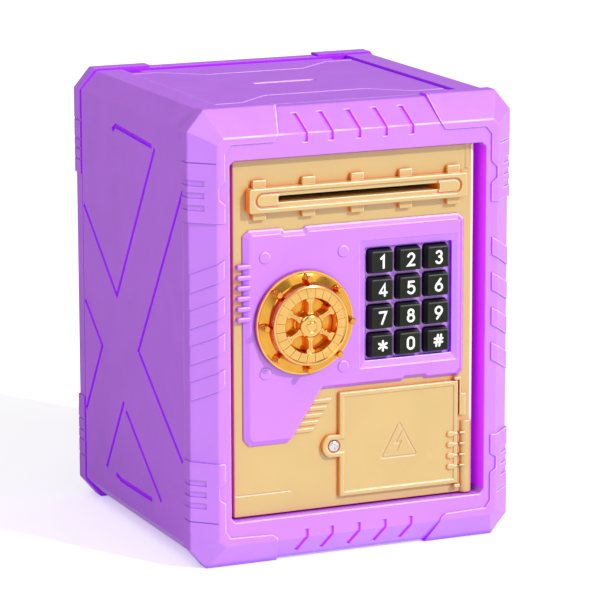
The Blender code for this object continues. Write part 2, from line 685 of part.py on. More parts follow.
def battery_spring(name, span, z):
    """A coil along X against the cell's flat end."""
    curve = bpy.data.curves.new(name, "CURVE")
    curve.dimensions = "3D"
    curve.bevel_depth = SPRING_WIRE_R * MM
    curve.bevel_resolution = 1
    curve.use_fill_caps = True
    spline = curve.splines.new("POLY")
    steps = SPRING_TURNS * 10
    spline.points.add(steps)
    for i, point in enumerate(spline.points):
        share = i / steps
        angle = 2 * math.pi * SPRING_TURNS * share
        depth, height = SPRING_R * math.cos(angle), SPRING_R * math.sin(angle)
        along = span[0] + (span[1] - span[0]) * share
        point.co = (*world(along, CELL_DEPTH + depth, z + height), 1.0)
    return link(name, solid_from_curve(curve), NICKEL)


def battery_cover():
    left, right = COVER_X
    low, high = COVER_Z
    neck = 4.6
    tab = arc(COVER_SCREW, COVER_TAB_R, 270 - 26, 90 + 26, 13)
    outline = [(left, low), (right, low), (right, high), (left, high), (left, COVER_SCREW[1] + neck)]
    outline += list(reversed(tab)) + [(left, COVER_SCREW[1] - neck)]
    cover = prism("battery_cover", "D", COVER_DEPTH, outline, GOLD)
    ribs = [
        box(f"cover_rib_{i}", (0, 40), (4.4, 7.0), span)
        for i, span in enumerate(((26.0, 27.2), (65.2, 66.4)), 1)
    ]
    stubs = rod("cover_stubs", "Z", (23.3, 68.5), COVER_AXIS, 0.55, segments=10)
    counterbore = rod("cover_screw_well", "D", (0, 3.9), COVER_SCREW, 2.8, segments=20)
    hole = rod("cover_screw_clearance", "D", (0, 8), COVER_SCREW, 1.6, segments=12)
    join(cover, *ribs, stubs)
    return cut(cover, counterbore, hole)


def battery_cover_screw():
    profile = [(0, 7.3), (1.2, 7.0), (1.2, 3.6), (2.4, 3.6), (2.4, 2.95), (1.7, 2.6), (0, 2.6)]
    return turned("battery_cover_screw", "D", COVER_SCREW, profile, STEEL, 20)


# ---- dial and latch -----------------------------------------------------------------------------------------
def dial():
    profile = [
        (0, 2.4), (19.6, 2.4), (DIAL_R, 1.9), (DIAL_R, 1.2), (20.2, 0.6), (16.6, -2.6), (16.0, -4.6),
        (15.2, -5.2),
        (11.2, -5.6), (10.8, -3.6), (5.4, -3.6), (5.0, -5.6), (0, DIAL_NOSE),
    ]
    knob = turned("dial", "D", (DIAL_X, DIAL_Z), profile, PLATED, 40)
    pegs = [
        rod(f"dial_peg_{i}", "D", (-4.4, 1.8), place, 1.3, segments=10)
        for i, place in enumerate(arc((DIAL_X, DIAL_Z), 18.4, 0, 315, 8))
    ]
    socket = rod("dial_socket", "D", (-2.4, 4), (DIAL_X, DIAL_Z), SHAFT_HOLE_R)
    join(knob, *pegs)
    return cut(knob, socket)


def dial_shaft():
    return rod("dial_shaft", "D", (-2.0, 18.0), (DIAL_X, DIAL_Z), SHAFT_R, STEEL)


def latch_pinion():
    outline = gear_outline(RACK_MODULE, PINION_TEETH, (DIAL_X, DIAL_Z), turn=0.5)
    pinion = prism("latch_pinion", "D", (9.4, 14.2), outline, NYLON)
    bore = rod("latch_pinion_bore", "D", (0, 20), (DIAL_X, DIAL_Z), SHAFT_HOLE_R)
    return cut(pinion, bore)


def latch_bolt():
    """A bar with a rack on its top edge and two notches below, one for each of its resting places."""
    line = DIAL_Z - PINION_PITCH_R
    pitch = math.pi * RACK_MODULE
    root, tip = line - 1.1 * RACK_MODULE, line + 0.85 * RACK_MODULE
    low, high = BOLT_Z
    left, right = BOLT_X
    notch = 2.35
    outline = [(left, low + 1.2), (left + 1.2, low)]
    for x in (PLUNGER_X, PLUNGER_X + BOLT_TRAVEL):
        outline += [(x - notch, low), (x - notch, low + 2.6), (x + notch, low + 2.6), (x + notch, low)]
    outline.append((right, low))
    teeth = []
    foot, crest = 0.31 * pitch, 0.10 * pitch
    for i in range(-1, 5):
        x = DIAL_X + i * pitch
        teeth += [(x - foot, root), (x - crest, tip), (x + crest, tip), (x + foot, root)]
    rack_end = teeth[0][0] - 1.0
    outline += [(right, root), *reversed(teeth)]
    outline += [(rack_end, root), (rack_end, high), (left + 1.2, high), (left, high - 1.2)]
    return prism("latch_bolt", "D", BOLT_DEPTH, outline, STEEL)


def solenoid():
    depth = (8.4, 18.6)
    coil = box("solenoid_body", (PLUNGER_X - 6, PLUNGER_X + 6), depth, (69.5, 82.8), BLACK, 0.6)
    middle = sum(BOLT_DEPTH) / 2
    bore = rod("solenoid_bore", "Z", (72, 90), (PLUNGER_X, middle), 2.2)
    cut(coil, bore)
    plunger = rod("solenoid_plunger", "Z", (73.0, 85.5), (PLUNGER_X, middle), 1.8, STEEL)
    return coil, plunger


# ---- note feeder --------------------------------------------------------------------------------------------
def feeder_frame():
    left = box("feeder_frame", (-PLATE_X[1], -PLATE_X[0]), (12.8, 32.4), (130, 157.6), NYLON)
    right = box("feeder_plate_right", PLATE_X, (12.8, 32.4), (120.6, 157.6))
    bar_x = (-PLATE_X[1] + 0.4, PLATE_X[1] - 0.4)
    top = box("feeder_bar_top", bar_x, (14.0, 27.0), (156.1, 157.4))
    low = box("feeder_bar_low", bar_x, (13.0, 16.2), (130.2, 131.8))
    holes = [
        rod("feeder_hole_drive", "X", (-60, 60), (ROLLER_DEPTH, DRIVE_Z), DRIVE_SHAFT_R + 0.35, segments=16),
        rod("feeder_hole_pinch", "X", (-60, 60), (ROLLER_DEPTH, PINCH_Z), PINCH_SHAFT_R + 0.35, segments=16),
        rod("feeder_hole_motor", "X", (30, 60), (MOTOR_DEPTH, MOTOR_Z), 3.0, segments=16),
    ]
    join(left, top, low, right)
    return cut(left, *holes)


def feeder_motor():
    motor = rod("feeder_motor", "X", (8.0, 34.8), (MOTOR_DEPTH, MOTOR_Z), MOTOR_R, STEEL, 28)
    bush = rod("motor_bush", "X", (34.0, 36.4), (MOTOR_DEPTH, MOTOR_Z), 2.6, segments=16)
    bore = rod("motor_bore", "X", (28.0, 40.0), (MOTOR_DEPTH, MOTOR_Z), 1.15, segments=12)
    join(motor, bush)
    return cut(motor, bore)


def rollers():
    at = (ROLLER_DEPTH, DRIVE_Z)
    sleeve = rod("drive_roller", "X", (-ROLLER_HALF, ROLLER_HALF), at, DRIVE_R, RUBBER, 28)
    cut(sleeve, rod("drive_roller_bore", "X", (-40, 40), at, DRIVE_SHAFT_R + 0.3, segments=16))
    shaft = rod("drive_shaft", "X", (-38.0, 40.4), at, DRIVE_SHAFT_R, STEEL, 16)
    profile = [
        (0, PINCH_END), (PINCH_SHAFT_R, PINCH_END), (PINCH_SHAFT_R, ROLLER_HALF), (PINCH_R, ROLLER_HALF),
        (PINCH_R, -ROLLER_HALF), (PINCH_SHAFT_R, -ROLLER_HALF), (PINCH_SHAFT_R, -PINCH_END), (0, -PINCH_END),
    ]
    pinch = turned("pinch_roller", "X", (ROLLER_DEPTH, PINCH_Z), profile, RUBBER, 20)
    return sleeve, shaft, pinch


def feeder_gears():
    centre, motor = (ROLLER_DEPTH, DRIVE_Z), (MOTOR_DEPTH, MOTOR_Z)
    line = math.atan2(motor[1] - centre[1], motor[0] - centre[0])
    gear_turn = line / (2 * math.pi / GEAR_TEETH)
    pinion_turn = (line + math.pi) / (2 * math.pi / MOTOR_TEETH) + 0.5
    gear = prism("roller_gear", "X", GEAR_X, gear_outline(GEAR_MODULE, GEAR_TEETH, centre, gear_turn), NYLON)
    cut(gear, rod("roller_gear_bore", "X", (30, 50), centre, DRIVE_SHAFT_R + 0.3, segments=16))
    teeth = gear_outline(GEAR_MODULE, MOTOR_TEETH, motor, pinion_turn)
    pinion = prism("motor_pinion", "X", GEAR_X, teeth, NYLON)
    join(pinion, rod("motor_pinion_shaft", "X", (29.0, 38.5), motor, 0.8, segments=12))
    return gear, pinion


# ---- assembly -----------------------------------------------------------------------------------------------
def build():
    front_frame()
    body_shell()
    top_panel()
    rear_cover()
    rear_screws()
    hinge_pins()

    coil, plunger = solenoid()
    sleeve, shaft, pinch = rollers()
    gear, pinion = feeder_gears()
    door_fixed = [
        door_panel(), door_back(), slot_bezel(), fascia(), key_membrane(), keypad_board(), control_board(),
        speaker(), coil, feeder_frame(), feeder_motor(), *door_screws(), *batteries(), *keys(), latch_bolt(),
        plunger,
    ]
    door = carry("door_axis", (HINGE_X, HINGE_DEPTH, 0), door_fixed)
    carry("battery_cover_axis", (*COVER_AXIS, COVER_SCREW[1]), [battery_cover(), battery_cover_screw()], door)
    carry("dial_axis", (DIAL_X, 0, DIAL_Z), [dial(), dial_shaft(), latch_pinion()], door)
    carry("drive_roller_axis", (0, ROLLER_DEPTH, DRIVE_Z), [sleeve, shaft, gear], door)
    carry("pinch_roller_axis", (0, ROLLER_DEPTH, PINCH_Z), [pinch], door)
    carry("motor_axis", (GEAR_X[0], MOTOR_DEPTH, MOTOR_Z), [pinion], door)
    bpy.context.view_layer.update()


build()
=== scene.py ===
"""The looks of the toy safe coin bank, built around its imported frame.

Lengths are in millimetres. A point is (x, depth, z): x to the viewer's right, depth back from the
casing's face, z up from the floor. world() puts it in the frame, in metres.
"""

import math

import bmesh
import bpy
from mathutils import Matrix, Vector

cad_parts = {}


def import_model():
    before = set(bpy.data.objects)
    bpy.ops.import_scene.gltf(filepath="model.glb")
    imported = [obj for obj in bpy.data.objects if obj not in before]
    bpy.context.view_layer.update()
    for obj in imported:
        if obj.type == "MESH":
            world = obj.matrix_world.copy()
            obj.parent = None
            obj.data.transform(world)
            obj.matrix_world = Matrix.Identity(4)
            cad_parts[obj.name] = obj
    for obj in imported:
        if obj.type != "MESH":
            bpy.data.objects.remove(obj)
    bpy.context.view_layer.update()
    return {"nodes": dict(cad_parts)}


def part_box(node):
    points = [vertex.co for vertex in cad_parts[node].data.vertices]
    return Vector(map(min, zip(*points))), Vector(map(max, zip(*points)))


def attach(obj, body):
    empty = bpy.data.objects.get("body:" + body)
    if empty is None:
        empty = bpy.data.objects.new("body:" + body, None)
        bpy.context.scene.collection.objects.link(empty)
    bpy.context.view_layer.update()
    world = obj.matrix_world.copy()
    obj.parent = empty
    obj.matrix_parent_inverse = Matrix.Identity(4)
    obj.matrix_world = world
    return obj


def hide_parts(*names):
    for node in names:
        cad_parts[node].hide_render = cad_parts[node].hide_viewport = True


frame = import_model()

MM = 0.001
FACE_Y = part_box("front_frame")[0].y


def world(x, depth, z):
    return Vector((x * MM, FACE_Y + depth * MM, z * MM))


def span(node):
    """A CAD node's extent as (x, depth, z) pairs in millimetres."""
    low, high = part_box(node)
    return (
        (low.x / MM, high.x / MM),
        ((low.y - FACE_Y) / MM, (high.y - FACE_Y) / MM),
        (low.z / MM, high.z / MM),
    )


# ---- outlines: closed lists of (u, v), anticlockwise
def area(outline):
    return sum(a[0] * b[1] - b[0] * a[1] for a, b in zip(outline, outline[1:] + outline[:1])) / 2


def inset(outline, by):
    """The outline moved inwards by a distance, or by one for each edge; negative moves it outwards."""
    steps = by if isinstance(by, (list, tuple)) else [by] * len(outline)
    moved = []
    for i, corner in enumerate(outline):
        here = Vector(corner)
        before = (here - Vector(outline[i - 1])).normalized()
        after = (Vector(outline[(i + 1) % len(outline)]) - here).normalized()
        cross = before.x * after.y - before.y * after.x
        if abs(cross) < 0.02:
            moved.append(tuple(here + Vector((-before.y, before.x)) * steps[i - 1]))
            continue
        moved.append(tuple(here + (after * steps[i - 1] - before * steps[i]) / cross))
    return moved


def rounded(outline, radius, steps=3):
    """Every corner as an arc; each corner gives steps + 1 points, so like outlines still match."""
    points = []
    for i, corner in enumerate(outline):
        here = Vector(corner)
        to_last = Vector(outline[i - 1]) - here
        to_next = Vector(outline[(i + 1) % len(outline)]) - here
        turn = to_last.angle(to_next)
        longest = 0.48 * min(to_last.length, to_next.length)
        reach = max(min(radius / math.tan(turn / 2), longest), 0.002)
        start = here + to_last.normalized() * reach
        end = here + to_next.normalized() * reach
        if turn > math.radians(178):
            points += [tuple(start.lerp(end, k / steps)) for k in range(steps + 1)]
            continue
        r = reach * math.tan(turn / 2)
        halfway = (to_last.normalized() + to_next.normalized()).normalized()
        centre = here + halfway * (r / math.sin(turn / 2))
        a, b = start - centre, end - centre
        first = math.atan2(a.y, a.x)
        sweep = math.atan2(a.x * b.y - a.y * b.x, a.dot(b))
        for k in range(steps + 1):
            angle = first + sweep * k / steps
            points.append((centre.x + r * math.cos(angle), centre.y + r * math.sin(angle)))
    return points


def about(middle, half):
    """The span from middle - half to middle + half."""
    return middle - half, middle + half


def rectangle(u, v):
    return [(u[0], v[0]), (u[1], v[0]), (u[1], v[1]), (u[0], v[1])]


def cut_corners(u, v, cut_u, cut_v):
    return [
        (u[0] + cut_u, v[0]), (u[1] - cut_u, v[0]), (u[1], v[0] + cut_v), (u[1], v[1] - cut_v),
        (u[1] - cut_u, v[1]), (u[0] + cut_u, v[1]), (u[0], v[1] - cut_v), (u[0], v[0] + cut_v),
    ]


def arc(centre, radius, start, end, steps):
    """Points on an arc, angles in degrees."""
    turns = [math.radians(start + (end - start) * k / steps) for k in range(steps + 1)]
    return [(centre[0] + radius * math.cos(t), centre[1] + radius * math.sin(t)) for t in turns]


def ring(centre, radius, steps):
    return arc(centre, radius, 0, 360, steps)[:-1]


def round_end(start, end, width, steps):
    """The half circle that ends a bar which runs from start to end."""
    along = Vector(end) - Vector(start)
    angle = math.degrees(math.atan2(along.y, along.x))
    return arc(end, width / 2, angle - 90, angle + 90, steps)


def stroke(points, width, round_ends=False):
    """The outline of a line of a given width through points, with mitred bends."""
    points = [Vector(p) for p in points]
    right, left = [], []
    for i, here in enumerate(points):
        a = (here - points[i - 1]).normalized() if i else (points[1] - here).normalized()
        b = (points[i + 1] - here).normalized() if i + 1 < len(points) else a
        side_a, side_b = Vector((-a.y, a.x)), Vector((-b.y, b.x))
        middle = side_a + side_b
        reach = middle * (width / 2 / max(middle.dot(side_a), 0.3))
        left.append(tuple(here + reach))
        right.append(tuple(here - reach))
    if not round_ends:
        return right + left[::-1]
    start, end = round_end(points[1], points[0], width, 8), round_end(points[-2], points[-1], width, 8)
    return right + end[1:-1] + left[::-1] + start[1:-1]


def capsule(a, b, width):
    """A straight bar with round ends."""
    return round_end(a, b, width, 6) + round_end(b, a, width, 6)


def mirrored(outline):
    return [(-u, v) for u, v in reversed(outline)]


def blended(a, b, share):
    """An outline on the way from a to b."""
    return [(p[0] + (q[0] - p[0]) * share, p[1] + (q[1] - p[1]) * share) for p, q in zip(a, b)]


# ---- places: turn (u, v, height above a surface) into a point
def on_front(depth):
    return lambda u, v, h: world(u, depth - h, v)


FRONT = on_front(0.0)


def on_both(side, near, far):
    """A span of x on the side -1 or 1, from two distances from the middle."""
    return sorted((side * near, side * far))


def on_back(depth):
    return lambda u, v, h: world(u, depth + h, v)


def on_side(x):
    """A surface that faces away from the middle at x; u is depth."""
    sign = math.copysign(1, x)
    return lambda u, v, h: world(x + sign * h, u, v)


def on_top(z):
    return lambda u, v, h: world(u, v, z + h)


BLANK = bpy.data.materials.new("blank")  # holds a solid's material slots until it is done


# ---- solids
def link(bm):
    """A mesh object from bmesh geometry, faces pointing out, with room for two materials."""
    bmesh.ops.recalc_face_normals(bm, faces=bm.faces)
    mesh = bpy.data.meshes.new("solid")
    bm.to_mesh(mesh)
    bm.free()
    for _ in range(2):
        mesh.materials.append(BLANK)
    made = bpy.data.objects.new("solid", mesh)
    bpy.context.scene.collection.objects.link(made)
    return made


def skin(rings):
    """A closed solid through rings of points of equal count."""
    bm = bmesh.new()
    loops = [[bm.verts.new(point) for point in points] for points in rings]
    count = len(loops[0])
    for low, high in zip(loops, loops[1:]):
        for i in range(count):
            j = (i + 1) % count
            bm.faces.new((low[i], low[j], high[j], high[i]))
    bm.faces.new(loops[0])
    bm.faces.new(loops[-1])
    return link(bm)


def loft(place, sections):
    """A closed solid through outlines of equal count, given as (height, outline)."""
    return skin([[place(u, v, height) for u, v in outline] for height, outline in sections])


def prism(place, outline, low, high):
    return loft(place, [(low, outline), (high, outline)])


def shrunk(outline, by, corner):
    """The outline moved inwards, its corners then rounded; smooth outlines have no corner radius."""
    moved = inset(outline, by) if by else outline
    return rounded(moved, max(corner - by, 0.05)) if corner else moved


def quarter(size, steps):
    """A rounded edge from its side to its top, as (how far in from the side, how far down from the top)."""
    turns = [math.pi / 2 * k / steps for k in range(steps + 1)]
    return [(size * (1 - math.cos(t)), size * (1 - math.sin(t))) for t in turns]


def plate(place, outline, low, high, edge, corner=None):
    """A prism whose top edge is rounded."""
    sections = [(low, shrunk(outline, 0.0, corner))]
    sections += [(high - down, shrunk(outline, by, corner)) for by, down in quarter(edge, 3)]
    return loft(place, sections)


def pillow(place, outline, low, high, edge, corner):
    """A prism with both its edges rounded."""
    edges = [(down, shrunk(outline, by, corner)) for by, down in quarter(edge, 3)]
    lower = [(low + down, shape) for down, shape in reversed(edges)]
    return loft(place, lower + [(high - down, shape) for down, shape in edges])


def sunk(place, outline, deep, lip):
    """A cutter for a recess below height 0 whose rim is softened and whose floor is a little smaller."""
    floor, flare = inset(outline, 0.15 * deep), inset(outline, -2 * lip)
    return loft(place, [(-deep, floor), (-lip, outline), (lip, flare)])


def box(x, depth, z):
    return prism(on_top(0.0), rectangle(x, depth), z[0], z[1])


def turned(centre, profile, steps, axis="D"):
    """A solid of revolution; profile is (radius, place along the axis) and starts and ends on the axis."""
    place = {
        "D": lambda a, b, c: world(centre[0] + a, c, centre[1] + b),
        "X": lambda a, b, c: world(c, centre[0] + a, centre[1] + b),
        "Z": lambda a, b, c: world(centre[0] + a, centre[1] + b, c),
    }[axis]
    bm = bmesh.new()
    first = bm.verts.new(place(0, 0, profile[0][1]))
    last = bm.verts.new(place(0, 0, profile[-1][1]))
    rings = []
    angles = [2 * math.pi * k / steps for k in range(steps)]
    for radius, along in profile[1:-1]:
        points = [place(radius * math.cos(a), radius * math.sin(a), along) for a in angles]
        rings.append([bm.verts.new(point) for point in points])
    for i in range(steps):
        j = (i + 1) % steps
        bm.faces.new((first, rings[0][i], rings[0][j]))
        bm.faces.new((last, rings[-1][i], rings[-1][j]))
        for low, high in zip(rings, rings[1:]):
            bm.faces.new((low[i], low[j], high[j], high[i]))
    return link(bm)


def rod(axis, along, centre, radius, steps=32):
    profile = [(0, along[0]), (radius, along[0]), (radius, along[1]), (0, along[1])]
    return turned(centre, profile, steps, axis)


def rods(along, places, radius, steps=20):
    """The same rod, running from front to back, at several places."""
    return [rod("D", along, at, radius, steps) for at in places]


def bundle(things):
    """Solids that don't touch, as one object."""
    bm = bmesh.new()
    for thing in things:
        bm.from_mesh(thing.data)
        bpy.data.objects.remove(thing)
    return link(bm)


def settled(thing):
    """Applies an object's modifiers and clears away slivers."""
    bpy.context.view_layer.update()
    mesh = bpy.data.meshes.new_from_object(thing.evaluated_get(bpy.context.evaluated_depsgraph_get()))
    thing.modifiers.clear()
    bm = bmesh.new()
    bm.from_mesh(mesh)
    bmesh.ops.remove_doubles(bm, verts=bm.verts, dist=0.000002)
    bmesh.ops.dissolve_degenerate(bm, edges=bm.edges, dist=0.000002)
    bm.to_mesh(mesh)
    bm.free()
    thing.data = mesh
    return thing


def tinted(thing, chosen=lambda normal: True):
    """Marks a tool's faces, so that the walls it leaves take the second material: painted shade, painted
    glow or a painted highlight on the casing, door, bezel and cover, the printed legend on the keys.
    """
    for face in thing.data.polygons:
        if chosen(face.normal):
            face.material_index = 1
    return thing


def combine(target, tools, operation):
    for tool in tools:
        step = target.modifiers.new("combine", "BOOLEAN")
        step.operation = operation
        step.solver = "EXACT"
        step.object = tool
    settled(target)
    for tool in tools:
        bpy.data.objects.remove(tool)
    return target


def cut(target, *tools):
    return combine(target, tools, "DIFFERENCE")


def join(target, *tools):
    return combine(target, tools, "UNION")


def meet(target, tool):
    return combine(target, (tool,), "INTERSECT")


def soften(thing, width, angle, segments):
    """Rounds the edges that are sharper than an angle."""
    bevel = thing.modifiers.new("soften", "BEVEL")
    bevel.width = width * MM
    bevel.segments = segments
    bevel.limit_method = "ANGLE"
    bevel.angle_limit = math.radians(angle)
    bevel.use_clamp_overlap = False
    bevel.miter_outer = "MITER_ARC"
    return settled(thing)


def done(thing, name, body, materials, node, sharp):
    """Mends and shades a finished piece, gives it its materials and the place of its CAD node."""
    thing.name = thing.data.name = name
    bm = bmesh.new()
    bm.from_mesh(thing.data)
    stray = [face for face in bm.faces if all(edge.is_boundary for edge in face.edges)]
    bmesh.ops.delete(bm, geom=stray, context="FACES")
    bmesh.ops.holes_fill(bm, edges=[edge for edge in bm.edges if edge.is_boundary], sides=4)
    bmesh.ops.dissolve_limit(bm, angle_limit=math.radians(0.3), verts=bm.verts, edges=bm.edges)
    bm.to_mesh(thing.data)
    bm.free()
    thing.data.shade_smooth()
    thing.data.set_sharp_from_angle(angle=math.radians(sharp))
    weighted = thing.modifiers.new("weighted", "WEIGHTED_NORMAL")
    weighted.keep_sharp = True
    for i, finish in enumerate(materials):
        thing.data.materials[i] = finish
    while len(thing.data.materials) > len(materials):
        thing.data.materials.pop()
    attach(thing, body)
    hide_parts(node)


# ---- materials
HIGHLIGHT_WAY = (0.43, -0.67, 0.60)        # edges turned this way, towards the key light, take the brightest painted highlight


def linear(rgb):
    """Display colour 0 to 255 as the linear colour a shader takes."""
    return [((channel / 255 + 0.055) / 1.055) ** 2.4 for channel in rgb] + [1.0]


class Tree:
    """Builds a node tree; each call adds a node and links its inputs."""

    def __init__(self, owner):
        owner.use_nodes = True
        self.tree = owner.node_tree

    def add(self, kind, inputs=None, **settings):
        node = self.tree.nodes.new(kind)
        for key, value in settings.items():
            setattr(node, key, value)
        for key, value in (inputs or {}).items():
            self.put(node.inputs[key], value)
        return node

    def put(self, socket, value):
        if isinstance(value, bpy.types.NodeSocket):
            self.tree.links.new(value, socket)
        else:
            socket.default_value = value

    def ranged(self, value, low, high, to_low, to_high, **settings):
        inputs = {"Value": value, "From Min": low, "From Max": high, "To Min": to_low, "To Max": to_high}
        return self.add("ShaderNodeMapRange", inputs, **settings).outputs["Result"]

    def calc(self, operation, a, b):
        return self.add("ShaderNodeMath", {0: a, 1: b}, operation=operation).outputs[0]

    def dot(self, a, b):
        return self.add("ShaderNodeVectorMath", {0: a, 1: b}, operation="DOT_PRODUCT").outputs["Value"]


class Finish(Tree):
    """One material: a Principled shader and what feeds it."""

    def __init__(self, name):
        self.material = bpy.data.materials.new(name)
        super().__init__(self.material)
        self.shader = self.tree.nodes["Principled BSDF"]
        self.place = self.add("ShaderNodeTexCoord").outputs["Object"]

    def noise(self, size, detail, roughness, stretch=None):
        """Noise whose features are about size millimetres across."""
        place = self.place
        if stretch:
            place = self.add("ShaderNodeMapping", {"Vector": place, "Scale": stretch}).outputs[0]
        inputs = {"Vector": place, "Scale": 1.0 / (size * MM), "Detail": detail, "Roughness": roughness}
        return self.add("ShaderNodeTexNoise", inputs).outputs["Fac"]

    def patches(self, size, detail, roughness, low, high):
        """Noise brought to a range, its middle parts stretched."""
        return self.ranged(self.noise(size, detail, roughness), 0.3, 0.7, low, high)

    def mix(self, share, a, b):
        node = self.add("ShaderNodeMix", data_type="RGBA")
        self.put(node.inputs[0], share)
        self.put(node.inputs[6], a)
        self.put(node.inputs[7], b)
        return node.outputs[2]

    def painted_crevice_shade(self, reach):
        """Mask for painted shade: 1 in a hollow where shade falls, 0 in the open."""
        node = self.add("ShaderNodeAmbientOcclusion", {"Distance": reach * MM}, samples=6)
        return self.ranged(node.outputs["AO"], 0.30, 0.80, 1.0, 0.0)

    def edges(self, radius):
        """A softened normal, and a mask for a painted edge highlight: 1 on an outer edge turned towards the
        key light, 0 on a flat.
        """
        soft = self.add("ShaderNodeBevel", {"Radius": radius * MM}, samples=4).outputs[0]
        distance = {"Distance": 1.2 * radius * MM}
        inside = self.add("ShaderNodeAmbientOcclusion", distance, samples=6, inside=True)
        edge = self.ranged(inside.outputs["AO"], 0.97, 0.82, 0.0, 1.0)
        wide = self.add("ShaderNodeBevel", {"Radius": 2.2 * radius * MM}, samples=4).outputs[0]
        toward_highlight = self.ranged(self.dot(wide, HIGHLIGHT_WAY), 0.62, 0.84, 0.08, 1.0)
        return soft, self.calc("MULTIPLY", edge, toward_highlight)

    def bump(self, height, strength, distance, normal):
        inputs = {"Height": height, "Strength": strength, "Distance": distance * MM, "Normal": normal}
        return self.add("ShaderNodeBump", inputs).outputs[0]

    def set(self, **inputs):
        for key, value in inputs.items():
            self.put(self.shader.inputs[key.replace("_", " ")], value)
        return self.material


def plastic(name, colour, painted_crevice_shade, edge, roughness, grain=0.012, reach=3.0, index=1.5, glow=0.0):
    """Moulded plastic: fine grain, slight cloudiness, painted shade in its hollows, paler edges that are
    partly wear and partly a painted highlight, and a glow in the shade colour, which is painted light.

    grain and reach are the grain's height and the width of the painted shade in hollows, in millimetres."""
    make = Finish(name)
    cloud = make.patches(18.0, 3.0, 0.5, 0.0, 1.0)
    soft, highlight_and_wear = make.edges(0.45)
    scuffed = make.ranged(make.noise(2.4, 4.0, 0.65), 0.35, 0.65, 0.55, 1.0)
    highlight_and_wear = make.calc("MULTIPLY", highlight_and_wear, scuffed)
    shade = make.mix(cloud, linear([c * 0.975 for c in colour]), linear(colour))
    # Paler edges: a painted highlight on edges turned to the key light, broken up by real scuffing.
    shade = make.mix(highlight_and_wear, shade, linear(edge))
    # Painted shade: hollows take the shade colour, standing in for the shade that falls there.
    shade = make.mix(make.painted_crevice_shade(reach), shade, linear(painted_crevice_shade))
    speck = make.noise(0.5, 3.0, 0.6)
    rough = make.patches(7.0, 4.0, 0.6, roughness - 0.05, roughness + 0.05)
    normal = make.bump(speck, 0.35, grain, soft)
    make.set(Base_Color=shade, Roughness=rough, Normal=normal, IOR=index)
    # Glow: painted light, the shade colour given off so that walls no lamp reaches look lit.
    return make.set(Emission_Color=linear(painted_crevice_shade), Emission_Strength=glow)


def metal(name, colour, edge, roughness, brushed=None, grain=0.01, dark=None, reach=1.5):
    """Bright metal with fine lines or pits, duller patches, edges paled by a painted highlight, and painted
    shade in its hollows where dark is given.
    """
    make = Finish(name)
    soft, highlight_and_wear = make.edges(0.1)
    dull = make.noise(5.0, 4.0, 0.6)
    cloud = make.ranged(dull, 0.3, 0.7, 0.0, 1.0)
    shade = make.mix(cloud, linear([c * 0.94 for c in colour]), linear(colour))
    # Painted highlight on the edges turned to the key light.
    shade = make.mix(highlight_and_wear, shade, linear(edge))
    # Painted shade: hollows take the dark colour, as where the metal reflects itself.
    if dark:
        shade = make.mix(make.painted_crevice_shade(reach), shade, linear(dark))
    lines = make.noise(0.4, 2.0, 0.5, brushed)
    rough = make.ranged(dull, 0.3, 0.7, roughness * 0.8, roughness * 1.25)
    normal = make.bump(lines, 0.3, grain, soft)
    return make.set(Base_Color=shade, Metallic=1.0, Roughness=rough, Normal=normal)


def gilt(name, colour, edge, dark):
    """Mirror-like gold plating, deep orange where it reflects itself."""
    return metal(name, colour, edge, 0.13, dark=dark, reach=3.4, grain=0.003)


def rubbery(name, colour):
    """Matt and cloudy, with a painted highlight paling the edges turned to the key light."""
    make = Finish(name)
    cloud = make.patches(6.0, 4.0, 0.5, 0.0, 1.0)
    soft, highlight_and_wear = make.edges(0.3)
    shade = make.mix(cloud, linear([c * 0.85 for c in colour]), linear(colour))
    shade = make.mix(highlight_and_wear, shade, linear([min(255, c * 1.35) for c in colour]))
    normal = make.bump(make.noise(0.35, 3.0, 0.7), 0.5, 0.02, soft)
    rough = make.patches(1.5, 3.0, 0.5, 0.65, 0.85)
    return make.set(Base_Color=shade, Roughness=rough, Normal=normal)


def circuit(name):
    """Green board with paler tracks and a slight gloss."""
    make = Finish(name)
    inputs = {"Vector": make.place, "Scale": 260.0, "Mortar Size": 0.03}
    tracks = make.add("ShaderNodeTexBrick", inputs, offset=0.35).outputs["Fac"]
    cloud = make.patches(5.0, 3.0, 0.5, 0.0, 1.0)
    soft, highlight_and_wear = make.edges(0.2)
    shade = make.mix(cloud, linear((22, 78, 40)), linear((34, 104, 56)))
    shade = make.mix(tracks, linear((70, 140, 80)), shade)
    # Painted highlight on the edges turned to the key light.
    shade = make.mix(highlight_and_wear, shade, linear((150, 170, 110)))
    normal = make.bump(tracks, 0.3, 0.02, soft)
    rough = make.patches(1.0, 3.0, 0.5, 0.3, 0.5)
    return make.set(Base_Color=shade, Roughness=rough, Normal=normal)


# In each plastic call below, the colour after the base colour is painted shade for the hollows, and the next
# is the paler edge colour, part wear and part painted highlight.
SHELL = {"colour": (199, 112, 250), "painted_crevice_shade": (148, 10, 235), "edge": (250, 226, 255), "index": 2.1}

PURPLE = plastic("purple_shell", roughness=0.42, **SHELL)
PURPLE_FASCIA = plastic("purple_fascia", roughness=0.40, reach=2.0, **SHELL)
# Groove walls: a deeper violet copy of the shell, painted shade lifted by a painted glow.
GROOVE = plastic("purple_groove_painted_shade", (180, 26, 248), (120, 0, 225), (190, 84, 250), 0.5, reach=1.0, glow=0.15)
# The door opening's walls, gill walls and the front's left-facing walls: a brighter magenta copy of the
# shell with a strong glow, painted light where the key light can't reach.
JAMB = plastic("purple_jamb_painted_light", (214, 60, 236), (162, 6, 236), (230, 130, 255), 0.45, reach=2.5, glow=0.52)
GOLD = plastic("gold_door", (207, 172, 98), (226, 112, 8), (255, 243, 214), 0.36, reach=3.0, index=2.1)
